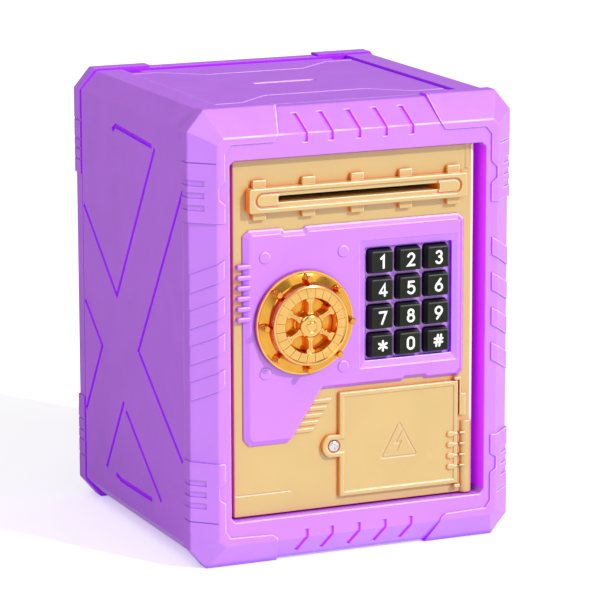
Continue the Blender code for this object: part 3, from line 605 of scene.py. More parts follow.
# The door's hinge edge: a paler, glowing copy of the gold, a painted highlight where the frame shades it.
HIGHLIGHT_GOLD = plastic(
    "gold_edge_painted_highlight", (255, 238, 196), (244, 196, 110), (255, 248, 226), 0.34, reach=0.8, glow=0.12,
)
# Left-facing gold walls: an orange copy of the gold, painted shade on the side turned from the key light.
SHADED_GOLD = plastic("gold_side_painted_shade", (240, 152, 40), (226, 108, 8), (255, 214, 140), 0.40, reach=1.0, glow=0.10)
CHARCOAL = plastic(
    "key_cap", (31, 34, 27), (8, 6, 12), (128, 134, 122), 0.36, grain=0.008, reach=1.5, index=1.25,
)
LEGEND = plastic(
    "key_legend", (248, 248, 246), (214, 214, 210), (255, 255, 255), 0.40, grain=0.004, reach=0.4,
)
# The plating's last colour is painted shade for its hollows.
PLATED = gilt("gold_plating", (246, 196, 114), (255, 232, 180), (230, 114, 8))
# A darker copy of the plating for the flange and the hollow inside the rim: a painted reflection.
PLATED_DARK_REFLECTION = gilt("gold_plating_painted_reflection", (238, 172, 70), (255, 230, 170), (224, 102, 4))
STEEL = metal("screw_steel", (228, 231, 236), (246, 248, 250), 0.22)
BRUSHED = metal("shaft_steel", (186, 189, 194), (228, 230, 234), 0.28, brushed=(1.0, 18.0, 18.0))
NICKEL = metal("contact_nickel", (208, 202, 186), (240, 236, 224), 0.30)
RUBBER = rubbery("grey_rubber", (66, 66, 70))
BLACK = plastic("black_housing", (30, 30, 33), (10, 10, 12), (78, 78, 84), 0.5, grain=0.02)
NYLON = plastic(
    "white_nylon", (228, 226, 216), (176, 168, 150), (245, 244, 238), 0.48, grain=0.01, reach=1.2,
)
BOARD = circuit("board_green")
CELL = plastic("cell_wrap", (38, 62, 140), (14, 24, 70), (90, 120, 190), 0.3, grain=0.004, reach=1.0)

# The casing's second material is the groove colour: painted shade with a painted glow, on the walls marked
# for it.
SHELL_PAIR = (PURPLE, GROOVE)


# ---- the casing's measures
FRAME_X, FRAME_D, FRAME_Z = span("front_frame")
PANEL_X, PANEL_D, PANEL_Z = span("top_panel")
SHELL_D, REAR_D = span("body_shell")[1], span("rear_cover")[1]
HALF, TALL = FRAME_X[1], FRAME_Z[1]
MIDDLE_Z = TALL / 2

CORNER = (7.0, 8.3)                      # cut corners of the outline
FACE_INSET, FACE_CORNER = (9.2, 10.5), (2.7, 2.4)  # the flat face within the sloped border
CHAMFER = 8.9                            # depth of the front's sloped border
WALL = 2.2
STEP_X, STEP_Z = 0.6, 1.0                # how far the raised corner plates stand proud
SHORT = 0.04                             # the plates end this far from the joint between two casing pieces
OPENING_X, OPENING_Z, OPENING_CORNER = 55.3, (20.0, 164.5), 1.7
LATCH_Z = (85.6, 91.6)                   # where the bolt passes through the door and the frame
JAMB_EDGE = 0.6
HINGE, PIN_HOLE = (49.0, 6.2), 1.1       # the door's axis as (x, depth), and its holes' radius
REAR_SCREWS = ((-62.5, 15.5), (62.5, 15.5), (-62.5, 169.0), (62.5, 169.0))


def casing(inset_x, inset_z, cut_x, cut_z):
    """The casing's outline from the front, moved inwards, with its corners cut."""
    half = HALF - inset_x
    return cut_corners(about(0, half), (inset_z, TALL - inset_z), cut_x, cut_z)


def frame_block(drop, edge_x=0.0, edge_z=0.0):
    """The front's outside: flat face, sloped border, straight sides; how far each is below full size."""
    face = rounded(casing(*FACE_INSET, *FACE_CORNER), 0.5)
    outer = rounded(casing(edge_x, edge_z, CORNER[0] - 0.4 * edge_x, CORNER[1] - 0.6 * edge_z), 0.8)
    profile = (                          # (share of the way from the face's edge to the outer one, depth)
        (-0.06, 0.0), (-0.025, 0.04), (0.010, 0.20), (0.042, 0.43),
        (0.955, 8.47), (0.985, 8.82), (1.0, 9.3), (1.0, FRAME_D[1]),
    )
    sections = []
    for share, depth in profile:
        sunk_by = drop if depth < FRAME_D[1] else 0.0
        sections.append((-depth - sunk_by, blended(face, outer, share)))
    return loft(FRONT, sections)


def corner_plates(out=0.0):
    """Outlines of the four raised corner plates, seen from the front; out shortens the upper ones."""
    low = [
        (31.5, -5), (75, -5), (75, 44.5), (58, 44.5), (58, 36.5), (60.5, 35), (60.5, 30), (58, 28.5),
        (58, 17), (56, 14), (38, 13.5), (36, 12),
    ]
    high = [
        (31 + out, 190), (35 + out, 174), (37 + out, 171), (55, 171), (57.5, 168), (57.5, 157), (60, 154.5),
        (60, 150), (57.5, 148), (57.5, 140.5), (75, 140.5), (75, 190),
    ]
    return [low, high, mirrored(low), mirrored(high)]


# Walls that face left face away from the key light; they take the piece's second material: painted shade,
# and on the front frame a painted glow.
def faces_left(normal):
    """Whether a side wall faces the side that the photograph sees."""
    return normal.x < -0.6 and abs(normal.y) < 0.3


def raised_plates(block, low, high, outlines):
    """The corner plates: a full-size block kept only inside their outlines."""
    made = []
    for outline in outlines:
        mask = prism(FRONT, rounded(outline, 0.5, 2), low, high)
        made.append(meet(block(0.0), tinted(mask, faces_left)))
    return made


BLADES, BLADE_TOP, BLADE_PITCH, BLADE_TALL, BLADE_FALL = 4, 126.0, 14.4, 7.2, 10.4


def lamellae():
    """Slanted raised blades on both side borders, fading out at the outer ridge."""
    made = []
    for i in range(BLADES):
        top = BLADE_TOP - BLADE_PITCH * i
        end = top - BLADE_FALL
        outline = [(58, top), (58, top - BLADE_TALL), (76, end - BLADE_TALL), (76, end)]
        for shape in (outline, mirrored(outline)):
            blade = frame_block(0.0, STEP_X - 0.02, STEP_Z)
            mask = prism(FRONT, shape, -13.0, 5.0)
            made.append(meet(blade, tinted(mask, faces_left)))
    return made


RIDGE_TOP = TALL - FACE_INSET[1]         # where the face turns into the slope
SLOPE = Vector((CHAMFER, FACE_INSET[1] - STEP_Z)).normalized()
GILLS_X = (-22.3, -11.3, 0.5, 12.0, 23.5)


def gill(x, at_top):
    """A slit with one steep wall and a floor that fades away to the left, running over the ridge."""
    deep, wide = 0.85, 2.7
    face_out, slope_out = Vector((-1.0, 0.0)), Vector((-SLOPE.y, SLOPE.x))
    ridge_out = (face_out + slope_out).normalized() * 1.06
    stations = (
        (x, Vector((STEP_X, RIDGE_TOP - 3.6)), face_out),
        (x, Vector((STEP_X, RIDGE_TOP)), ridge_out),
        (x - 2.2, Vector((STEP_X, RIDGE_TOP)) + SLOPE * 9.4, slope_out),
    )
    section = ((0.15, 0.6), (0.0, 0.05), (-0.5, -deep), (-wide, 0.04), (-wide, 0.6))
    rings = []
    for at_x, base, out in stations:
        points = [(shift, base + out * rise) for shift, rise in section]
        rings.append([world(at_x + shift, p.x, p.y if at_top else TALL - p.y) for shift, p in points])
    return tinted(skin(rings), lambda normal: abs(normal.x) > 0.6)


def wrap(side, z, tall, reach, deep=0.4):
    """A cutter along the side border, from reach out on its slope round to the side wall."""
    slope = Vector((FACE_INSET[0], CHAMFER)).normalized()
    outward = Vector((slope.y, -slope.x))
    start = Vector((HALF - FACE_INSET[0], 0.0)) + slope * reach
    floor, outside, end = HALF - deep, HALF + 2.0, FRAME_D[1] + 1.0
    path = [
        start + outward * 1.2, start - outward * deep, (floor, CHAMFER + 0.55 * deep), (floor, end),
        (outside, end), (outside, CHAMFER),
    ]
    outline = [(side * x, depth) for x, depth in path]
    if area(outline) < 0:
        outline.reverse()
    return prism(on_top(0.0), outline, z - tall / 2, z + tall / 2)


BRACKETS_Z = (156.0, 151.2, 146.3, 36.2, 31.6, 27.0)
HAIRLINES_Z = (164.0, 20.3)


def side_marks():
    """Brackets and hairlines that run round the side borders."""
    tools = []
    for side in (-1, 1):
        tools += [wrap(side, z, 2.3, 5.6) for z in BRACKETS_Z]
        tools += [wrap(side, z, 0.45, 0.6, 0.3) for z in HAIRLINES_Z]
    return tools


def opening(grow):
    """The door opening's outline, grown by a distance."""
    z = (OPENING_Z[0] - grow, OPENING_Z[1] + grow)
    return rounded(cut_corners(about(0, OPENING_X + grow), z, OPENING_CORNER, OPENING_CORNER), 0.5)


def opening_cutter():
    """The door opening with a rounded front edge."""
    sections = [(2.0, opening(JAMB_EDGE))]
    sections += [(-STEP_X - back, opening(out)) for back, out in quarter(JAMB_EDGE, 4)]
    sections.append((-FRAME_D[1] - 5, opening(0.0)))
    return loft(FRONT, sections)


def front_frame():
    """The front ring: hollow border, door opening, latch window and hinge pin bosses."""
    frame_piece = frame_block(STEP_X, STEP_X, STEP_Z)
    near = casing(FACE_INSET[0] + 0.9, FACE_INSET[1] + 1.2, *FACE_CORNER)
    inner = casing(WALL, WALL + 0.8, CORNER[0] - 0.9, CORNER[1] - 0.9)
    depths = (WALL + 0.4, CHAMFER + 1.1 * WALL, FRAME_D[1] + 1)
    channel = loft(FRONT, [(-depths[0], near), (-depths[1], inner), (-depths[2], inner)])
    jamb_x, jamb_z = OPENING_X + WALL, (OPENING_Z[0] - WALL, OPENING_Z[1] + WALL)
    cut(channel, box(about(0, jamb_x), (0, 20), jamb_z))

    plates = raised_plates(frame_block, SHORT - FRAME_D[1], 5.0, corner_plates())
    join(frame_piece, *plates, *lamellae())
    cut(frame_piece, channel)
    bosses = [rod("Z", z, HINGE, 3.4) for z in ((11.0, 19.0), (165.5, 173.2))]
    holes = [rod("Z", z, HINGE, PIN_HOLE, 20) for z in ((11.7, 22), (162, 172.7))]
    window = box((-60, -OPENING_X + 1), (9.2, 20), (LATCH_Z[0] - 0.4, LATCH_Z[1] + 0.4))
    join(frame_piece, *bosses)
    # Gills, jambs and the left walls of plates and blades take the glowing jamb copy: painted light.
    gills = [gill(x, top) for x in GILLS_X for top in (True, False)]
    jambs = tinted(opening_cutter(), lambda normal: abs(normal.x) > 0.9)
    cut(frame_piece, jambs, *holes, window, *gills, *side_marks())
    done(frame_piece, "casing_front", "casing", (PURPLE, JAMB), "front_frame", 30)


SIDE_GROOVES = (                         # lines of (depth, z) on both sides
    ((91.8, 164.3), (87.8, 166.6), (47.6, 164.3)),
    ((44.4, 163.8), (88.7, 95.8), (126.6, 127.7)),
    ((13.8, 153.2), (64.8, 77.6), (17.5, 42.0)),
    ((126.6, 86.9), (106.6, 71.0), (126.8, 39.8)),
    ((82.2, 52.4), (103.3, 19.7)),
    ((79.9, 49.1), (41.0, 20.2)),
    ((92.1, 19.4), (86.3, 18.2), (51.0, 18.5)),
)
GROOVE_WIDE, GROOVE_DEEP = 1.9, 0.8


def shell_outline(by):
    """The body's outline moved inwards."""
    x, z = HALF - STEP_X - by, (2 * STEP_Z + by, TALL - STEP_Z - by)
    return cut_corners(about(0, x), z, CORNER[0] - 0.42 * by, CORNER[1] - STEP_Z - 0.42 * by)


def body_shell():
    """The tube of the box, with the lid's ledges, screw bosses and grooved sides."""
    outer, edge = rounded(shell_outline(0.0), 0.9), 0.25
    inner = rounded(shell_outline(edge), 0.7)
    sections = [
        (-SHELL_D[0], inner), (-SHELL_D[0] - edge, outer), (-SHELL_D[1] + edge, outer), (-SHELL_D[1], inner),
    ]
    shell = loft(FRONT, sections)
    hollow = prism(FRONT, shell_outline(WALL - 0.4), -SHELL_D[1] - 1, -SHELL_D[0] + 1)
    rim_x = PANEL_X[1] + 0.3
    # The window's walls round the lid take the groove colour: painted shade in the gap.
    window = tinted(box(about(0, rim_x), (PANEL_D[0] - 0.3, 140), (PANEL_Z[1] - 2.3, 190)))
    rail = ((PANEL_D[0] - 3, 121.5), (178.2, 182.0))
    rails = [box(on_both(side, PANEL_X[1] - 2.6, rim_x + 2.0), *rail) for side in (-1, 1)]
    bosses = rods((100, SHELL_D[1] - 0.2), REAR_SCREWS, 5.2, 32)
    holes = rods((112, 130), REAR_SCREWS, 1.75)
    # The side grooves' walls take the groove colour: painted shade with a painted glow.
    grooves = [
        tinted(sunk(on_side(side * (HALF - STEP_X)), stroke(points, GROOVE_WIDE), GROOVE_DEEP, 0.12))
        for side in (-1, 1) for points in SIDE_GROOVES
    ]
    cut(shell, hollow)
    join(shell, *rails, *bosses)
    cut(shell, window, *holes, *grooves)
    done(shell, "casing_body", "casing", SHELL_PAIR, "body_shell", 30)


COIN_SLOT, COIN_SLOT_D = (27.5, 3.6), 74.5  # its length and width, and the depth of its middle
TOP_LINES = (
    ((-51.0, 30.0), (-37.3, 30.0), (-22.0, 43.5), (22.0, 43.5), (37.3, 30.0), (51.0, 30.0)),
    ((-51.0, 119.0), (-38.5, 119.0), (-22.0, 105.5), (22.0, 105.5), (38.5, 119.0), (51.0, 119.0)),
)


def top_panel():
    """The lid with its coin slot and chute."""
    outline = rectangle(PANEL_X, (PANEL_D[0], PANEL_D[1] - 0.5))
    panel = plate(on_top(0.0), outline, PANEL_Z[1] - 2.0, PANEL_Z[1], 0.35, 0.5)
    half_x, half_d = COIN_SLOT[0] / 2, COIN_SLOT[1] / 2
    near, far = COIN_SLOT_D - half_d, COIN_SLOT_D + half_d
    chute = box((-half_x - 2, half_x + 2), (near - 2, far + 2), (PANEL_Z[0], PANEL_Z[1] - 1.5))
    slot_outline = rounded(rectangle(about(0, half_x), (near, far)), 1.2, 4)
    slot = sunk(on_top(PANEL_Z[1]), slot_outline, 0.9, 0.35)
    through = prism(on_top(0.0), inset(slot_outline, 0.1), PANEL_Z[0] - 2, 190)
    lines = [sunk(on_top(PANEL_Z[1]), stroke(points, 1.1), 0.45, 0.2) for points in TOP_LINES]
    notches = [box(on_both(side, 43.6, 60), (122.5, 130), (175, 190)) for side in (-1, 1)]
    join(panel, chute)
    cut(panel, slot, through, *lines, *notches)
    done(panel, "top_lid", "casing", SHELL_PAIR, "top_panel", 30)


def rear_block(drop_x, drop_z=0.0):
    """The rear cover's outside: straight sides and a small rounded edge round the back."""
    corner = (CORNER[0] - 0.4 * drop_x, CORNER[1] - 0.6 * drop_z)
    outer = rounded(casing(drop_x, drop_z, *corner), 0.8)
    back = rounded(casing(drop_x + 0.7, drop_z + 0.7, corner[0] - 0.3, corner[1] - 0.3), 0.8)
    end = REAR_D[1] - drop_x
    profile = ((0.0, REAR_D[0]), (0.0, end - 0.7), (0.13, end - 0.35), (0.5, end - 0.1), (1.0, end))
    return loft(FRONT, [(-depth, blended(outer, back, share)) for share, depth in profile])


REAR_TICKS_Z = (163.0, 155.0, 151.0, 146.5, 34.5, 29.5, 25.5, 18.8)
REAR_LINES = ([(-38, 40), (-24, 52), (24, 52), (38, 40)], [(-38, 144), (-24, 132), (24, 132), (38, 144)])


def rear_cover():
    """The back of the box with its screw wells."""
    cover = rear_block(STEP_X, STEP_Z)
    join(cover, *raised_plates(rear_block, -150.0, -SHORT - REAR_D[0], corner_plates(6.0)))
    # Front-facing walls of the rear cover take the groove colour: painted shade at its joints.
    tinted(cover, lambda normal: normal.y < -0.9)
    inner = casing(WALL + 0.9, WALL + 1.8, CORNER[0] - 1.0, CORNER[1] - 1.0)
    inner_back = casing(WALL + 2.4, WALL + 3.0, CORNER[0] - 1.0, CORNER[1] - 1.0)
    depths = (REAR_D[0] - 1, REAR_D[1] - 3.8, REAR_D[1] - WALL - 0.5)
    hollow = loft(FRONT, [(-depths[0], inner), (-depths[1], inner), (-depths[2], inner_back)])
    bosses = rods((REAR_D[0] + 0.3, 134.0), REAR_SCREWS, 4.4, 32)
    wells = [sunk(on_back(REAR_D[1]), ring(at, 3.35, 40), REAR_D[1] - 131.0, 0.3) for at in REAR_SCREWS]
    holes = rods((126, 132), REAR_SCREWS, 1.75)
    field = rounded(cut_corners(about(0, 50), (26, 158), 9, 9), 1.5)
    back, deep = REAR_D[1] - STEP_X, 0.7
    recess = sunk(on_back(back), field, deep, 0.3)
    lines = [sunk(on_back(back - deep), stroke(points, 1.1), 0.4, 0.2) for points in REAR_LINES]
    ticks = [
        box(on_both(side, HALF - 0.35, HALF + 2), (REAR_D[0] - 1, REAR_D[1] + 1), about(z, 0.5))
        for side in (-1, 1) for z in REAR_TICKS_Z
    ]
    cut(cover, hollow)
    join(cover, *bosses)
    cut(cover, *wells, *holes, recess, *lines, *ticks)
    done(cover, "casing_rear", "casing", SHELL_PAIR, "rear_cover", 30)


# ---- door
DOOR_X, DOOR_Z = (span("door_panel")[0][0], 52.2), (20.55, 163.9)
DOOR_FACE, DOOR_INSIDE = 5.0, 8.0        # depths of the door plate's two sides
BOX_X, BOX_Z, BOX_BACK, BOX_WALL = (-49.5, 48.0), (22.6, 160.5), 33.0, 1.8
BAY_X, BAY_Z, BAY_BACK = (-9.8, 45.9), (24.4, 68.2), 22.8  # the battery bay's inside
DOOR_SCREWS = ((-44.0, 29.0), (-44.0, 155.5), (42.6, 155.5), (42.6, 73.5))
DIAL, SHAFT_HOLE = (-23.5, 98.0), 3.25
KEYPAD, KEY_PITCH = (22.6, 102.45), (12.3, 11.35)  # the keypad's middle, and the keys' spacing
COVER_SCREW = (-10.0, 45.9)
COVER_X, COVER_Z = (-7.6, 44.8), (24.8, 67.6)
COVER_AXIS = (44.2, 3.85)                # the battery cover's hinge, as (x, depth)
BEAD_Z = (45.7, 41.2, 36.6, 32.1)

FASCIA = [                               # its outline at the foot of the sloped edges
    (-46.2, 49.2), (-29.8, 49.2), (-16.1, 69.6), (20.0, 69.6), (21.1, 70.5), (29.5, 70.5), (30.6, 69.6),
    (45.0, 69.6), (47.3, 71.8), (47.3, 134.0), (44.8, 136.1), (-21.7, 136.1), (-23.2, 134.9), (-30.9, 134.9),
    (-32.2, 136.1), (-46.1, 136.1), (-48.7, 133.9), (-48.7, 52.1),
]
FASCIA_EDGES = [2.3, 0.05] + 5 * [1.6] + 3 * [2.4] + 5 * [2.2] + 3 * [2.5]  # how far each slopes inwards
LOUVRES, LOUVRE_TOP, LOUVRE_PITCH, LOUVRE_LONG, LOUVRE_HALF = 5, 64.6, 2.8, 8.6, 0.95


def louvres():
    """Ribs beside the fascia's diagonal edge, with slanted ends."""
    foot, head = Vector(FASCIA[1]), Vector(FASCIA[2])
    made = []
    for i in range(LOUVRES):
        z = LOUVRE_TOP - LOUVRE_PITCH * i
        low, high = about(z, LOUVRE_HALF)
        start = foot.lerp(head, (z - foot.y) / (head.y - foot.y)).x + 0.5
        end = start + LOUVRE_LONG
        outline = [(start - 0.6, low), (end - 1.3, low), (end, high), (start + 0.7, high)]
        made.append(plate(on_front(DOOR_FACE), outline, -0.6, 0.75, 0.45, 0.35))
    return made


def door_panel():
    """The gold front and the box behind it."""
    face, inside = on_front(DOOR_FACE), DOOR_INSIDE - 0.5
    panel = pillow(on_front(DOOR_INSIDE), rectangle(DOOR_X, DOOR_Z), 0.0, DOOR_INSIDE - DOOR_FACE, 0.45, 0.5)
    strips = [
        (-down, rectangle((DOOR_X[1] - by, DOOR_X[1] + 2), (10, 170))) for by, down in quarter(1.5, 5)
    ]
    # The rounded hinge edge takes the paler gold: a painted highlight.
    cut(panel, tinted(loft(face, [(-1.8, strips[0][1])] + strips + [(0.5, strips[-1][1])])))
    shell_box = prism(FRONT, rounded(rectangle(BOX_X, BOX_Z), 1.6, 3), -BOX_BACK, -DOOR_INSIDE + 0.6)
    within = [(low + BOX_WALL, high - BOX_WALL) for low, high in (BOX_X, BOX_Z)]
    join(panel, shell_box)
    cut(panel, box(within[0], (DOOR_INSIDE - 0.1, BOX_BACK + 1), within[1]))

    bay_x, bay_z = (BAY_X[0] - 1.5, BAY_X[1] + 1.0), (BAY_Z[0] - 1.0, BAY_Z[1] + 1.5)
    bay = box(bay_x, (inside, BAY_BACK + 1.5), bay_z)
    barrels = [rod("Z", (20.3, 50.6), HINGE, 2.9, 40), rod("Z", (154.0, 163.9), HINGE, 1.7, 28)]
    soften(barrels[0], 0.5, 60, 3)
    bosses = rods((inside, BOX_BACK), DOOR_SCREWS, 2.7, 24)
    guides = [
        box((-31, -11), (inside, 14.6), (LATCH_Z[0] - 2.4, LATCH_Z[0])),
        box((-46, -37), (inside, 14.6), (LATCH_Z[1], LATCH_Z[1] + 2.4)),
    ]
    lug_x = (COVER_AXIS[0] - 1.2, COVER_AXIS[0] + 1.4)
    lug_z = ((23.0, COVER_Z[0] - 0.3), (COVER_Z[1] + 0.3, 69.2))
    lugs = [plate(face, rectangle(lug_x, z), -0.5, DOOR_FACE - 2.5, 0.35, 0.35) for z in lug_z]
    join(panel, bay, *barrels, *bosses, *guides, *lugs)

    land = [(45.6, 53.0), (48.4, 53.0), (48.4, 62.0), (46.3, 62.0), (46.3, 67.6), (45.6, 67.6)]
    ribs = [plate(face, capsule((46.0, z), (47.6, z), 0.8), -1.0, 1.9, 0.25) for z in BEAD_Z]
    join(panel, plate(face, land, -0.5, 1.5, 0.25, 0.25), *ribs, *louvres())

    through, line = (0, DOOR_INSIDE + 1), stroke([(-52.0, 29.4), (-28.0, 29.4)], 0.35)
    tools = [
        box(BAY_X, (DOOR_INSIDE - 0.2, BAY_BACK), BAY_Z),
        box((-4.9, 45.6), through, (25.4, 67.0)),
        box(about(0, 37), through, (144.8, 151.6)),
        box(about(KEYPAD[0], 21.0), through, about(KEYPAD[1], 24.8)),
        rod("D", (0, 12), DIAL, SHAFT_HOLE, 32),
        rod("D", (0, 7.7), COVER_SCREW, 1.7, 24),
        box((-52, -45), (9.4, 14.2), LATCH_Z),
        sunk(face, line, 0.3, 0.08),
        rod("Z", (18, 31.3), HINGE, PIN_HOLE, 20), rod("Z", (154.7, 166), HINGE, PIN_HOLE, 20),
        rod("Z", (20, 68.8), COVER_AXIS, 0.9, 20),
    ]
    cut(panel, *tools, *rods((22, BOX_BACK + 1), DOOR_SCREWS, 1.3))
    done(panel, "door_shell", "door", (GOLD, HIGHLIGHT_GOLD), "door_panel", 32)


def door_back():
    """The plate that closes the door's box."""
    x, depth, z = span("door_back")
    back = plate(on_back(depth[0]), rectangle(x, z), 0.0, depth[1] - depth[0], 0.4, 1.6)
    note = prism(on_back(0.0), rounded(rectangle(about(0, 35), (145.0, 151.4)), 1.0), 30, 40)
    field = rounded(cut_corners((-36, 34), (46, 134), 7, 7), 1.5)
    outside = on_back(depth[1])
    ribs = [sunk(outside, capsule((-24, rib), (22, rib), 2.0), 0.6, 0.25) for rib in (74, 82, 90, 98, 106)]
    cut(back, note, *rods((30, 40), DOOR_SCREWS, 1.4))
    cut(back, sunk(outside, field, 0.45, 0.2))
    cut(back, *ribs)
    done(back, "door_lid", "door", (GOLD,), "door_back", 32)


BEZEL_X, BEZEL_Z = span("slot_bezel")[0], (143.1, 152.9)
BEZEL_FRONT, BEZEL_BACK = 0.7, DOOR_FACE - 0.3
TAB_PITCH, TAB_HALF = 21.0, 2.8
NOTE_X, NOTE_Z = 34.9, (146.9, 149.5)


def slot_bezel():
    """The note slot's surround with its clip tabs."""
    place = on_front(BEZEL_BACK)
    bezel = plate(place, rectangle(BEZEL_X, BEZEL_Z), 0.0, BEZEL_BACK - BEZEL_FRONT, 0.4, 1.0)
    tabs = []
    for z in ((BEZEL_Z[0] - 3.0, BEZEL_Z[0] + 1.2), (BEZEL_Z[1] - 1.2, BEZEL_Z[1] + 3.0)):
        for i in (-2, -1, 0, 1, 2):
            shape = rectangle(about(i * TAB_PITCH, TAB_HALF), z)
            tabs.append(plate(place, shape, 0.0, BEZEL_BACK - 2.9, 0.28, 0.4))
    join(bezel, *tabs, box((-36.5, 36.5), (4.2, 12.0), (145.3, 151.1)))

    floor = rounded(rectangle((-44.7, 44.7), (144.95, 151.2)), 2.9, 6)
    cut(bezel, sunk(on_front(BEZEL_FRONT), floor, 0.9, 0.15))
    pads = []
    for side in (-1, 1):
        shape = arc((41.5, 148.07), 2.3, -90, 90, 10) + [(NOTE_X - 0.5, 150.37), (NOTE_X - 0.5, 145.77)]
        shape = shape if side > 0 else mirrored(shape)
        pads.append(plate(on_front(BEZEL_FRONT + 0.9), shape, -0.5, 0.75, 0.2))
    join(bezel, *pads)
    slot = prism(FRONT, rounded(rectangle(about(0, NOTE_X), NOTE_Z), 0.3), -14, 1)
    cut(bezel, slot)
    # Left-facing walls take the orange gold: painted shade.
    tinted(bezel, faces_left)
    done(bezel, "note_bezel", "door", (GOLD, SHADED_GOLD), "slot_bezel", 32)


KEY_ROWS = (("1", "2", "3"), ("4", "5", "6"), ("7", "8", "9"), ("star", "0", "hash"))
FASCIA_FRONT, FASCIA_BACK, TRAY_FLOOR, TRAY_BACK = 3.0, 4.7, 5.5, 7.0
WINDOW_HALF = (5.5, 5.15)                # half sizes of the keys' windows
FASCIA_TEETH_Z = (121.9, 117.6, 113.5, 109.3, 105.1, 100.9)
FASCIA_DISCS = ((-39.8, 125.0), (-39.8, 78.5), (-6.2, 78.4), (-6.2, 125.0))


def key_places():
    """Each key's name and the x and z of its middle."""
    for row, names in enumerate(KEY_ROWS):
        for column, name in enumerate(names):
            x, z = KEYPAD[0] + (column - 1) * KEY_PITCH[0], KEYPAD[1] + (1.5 - row) * KEY_PITCH[1]
            yield name, x, z


def fascia():
    """The purple panel round the dial and the keys."""
    face = inset(FASCIA, FASCIA_EDGES)
    steps = ((0.0, 0.0), (0.12, 0.02), (0.93, 0.95), (1.0, 1.0), (1.12, 1.0))
    base, top = rounded(FASCIA, 0.35), rounded(face, 0.35)
    sections = [(-FASCIA_BACK, base)]
    for share, rise in steps:
        height = -FASCIA_BACK + 0.15 + (FASCIA_BACK - FASCIA_FRONT - 0.15) * rise
        sections.append((height, blended(base, top, share)))
    panel = loft(FRONT, sections)
    tray_x, tray_z = about(KEYPAD[0], 20.6), about(KEYPAD[1], 24.4)
    tray = box(tray_x, (FASCIA_BACK - 0.3, TRAY_BACK), tray_z)
    teeth = [
        plate(on_front(FASCIA_BACK), capsule((-50.6, z), (-46.6, z), 2.0), 0.0, 2.0, 0.55, 4)
        for z in FASCIA_TEETH_Z
    ]
    discs = [plate(on_front(FASCIA_FRONT), ring(at, 2.35, 40), -0.5, 0.45, 0.3) for at in FASCIA_DISCS]
    join(panel, tray, *teeth, *discs)

    rim = rounded(rectangle((1.1, 43.9), (76.7, 128.3)), 0.4)
    mouth = rounded(rectangle((3.45, 41.75), (79.5, 125.4)), 0.4)
    well = loft(FRONT, [
        (0.0, inset(rim, -0.3)), (-FASCIA_FRONT + 0.02, inset(rim, -0.15)), (-FASCIA_FRONT - 0.15, rim),
        (-FASCIA_FRONT - 0.85, mouth), (-TRAY_FLOOR, mouth),
    ])
    # The key windows' walls and the key well's side walls take the groove colour: painted shade.
    windows = []
    for _, x, z in key_places():
        shape = rounded(cut_corners(about(x, WINDOW_HALF[0]), about(z, WINDOW_HALF[1]), 0.9, 0.9), 0.2)
        windows.append(tinted(prism(FRONT, shape, -9, 0)))
    tinted(well, lambda normal: abs(normal.y) < 0.3)
    cut(panel, well, rod("D", (0, 8), DIAL, SHAFT_HOLE, 32))
    cut(panel, *windows)
    done(panel, "fascia_face", "door", (PURPLE_FASCIA, GROOVE), "fascia", 32)


# ---- keys
def legend_lines(name):
    """The strokes of each legend, in millimetres about the cap's middle."""
    return {
        "1": [[(-0.85, 1.35), (0.25, 2.35), (0.25, -2.35)]],
        "2": [arc((0, 1.1), 1.3, 170, -32, 12) + [(-1.25, -2.3), (1.45, -2.3)]],
        "3": [arc((-0.05, 1.2), 1.15, 150, -80, 12), arc((-0.05, -1.1), 1.3, 85, -150, 14)],
        "4": [[(0.75, -2.35), (0.75, 2.3), (-1.45, -1.1)], [(-1.45, -1.1), (1.6, -1.1)]],
        "5": [[(1.2, 2.3), (-0.9, 2.3), (-1.1, 0.2)], arc((0, -0.85), 1.5, 135, -145, 16)],
        "6": [arc((0, -0.95), 1.4, 90, 450, 28), [(0.75, 2.4), (-1.05, 0.1), (-1.36, -0.7)]],
        "7": [[(-1.45, 2.3), (1.4, 2.3), (-0.45, -2.35)]],
        "8": [arc((0, 1.2), 1.1, 90, 450, 24), arc((0, -1.1), 1.35, 90, 450, 28)],
        "9": [arc((0, 0.95), 1.4, 90, 450, 28), [(-0.75, -2.4), (1.05, -0.1), (1.36, 0.7)]],
        "0": [
            [(-1.35, 0.9)] + arc((0, 0.95), 1.35, 180, 0, 12) + arc((0, -0.95), 1.35, 0, -180, 12)
            + [(-1.35, 0.9)],
        ],
        "star": [arc((0, 0), 1.9, turn, turn + 180, 1) for turn in (90, 30, 150)],
        "hash": [
            [(-1.05, -2.2), (-0.25, 2.2)], [(0.35, -2.2), (1.15, 2.2)], [(-1.7, 0.75), (1.75, 0.75)],
            [(-1.8, -0.75), (1.65, -0.75)],
        ],
    }[name]


KEY_FRONT = 1.5                          # depth of the caps' tops
FOOT_HALF, TOP_HALF, FLANGE_HALF = (4.95, 4.65), (4.62, 4.32), (5.75, 5.45)
LINE = 0.92                              # width of a legend's lines


def legend(name, x, z):
    """The figure's white bars, standing a hair proud of the cap."""
    place, bars = on_front(KEY_FRONT), []
    for points in legend_lines(name):
        moved = [(u + x + 0.15, v + z) for u, v in points]
        if (Vector(points[0]) - Vector(points[-1])).length < 0.01:
            loop = moved[:-1] if area(moved) > 0 else moved[:0:-1]
            bar = prism(place, inset(loop, -LINE / 2), -0.3, 0.05)
            cut(bar, prism(place, inset(loop, LINE / 2), -1, 1))
        else:
            bar = prism(place, stroke(moved, LINE, round_ends=True), -0.3, 0.05)
        bars.append(tinted(bar))
    return bars


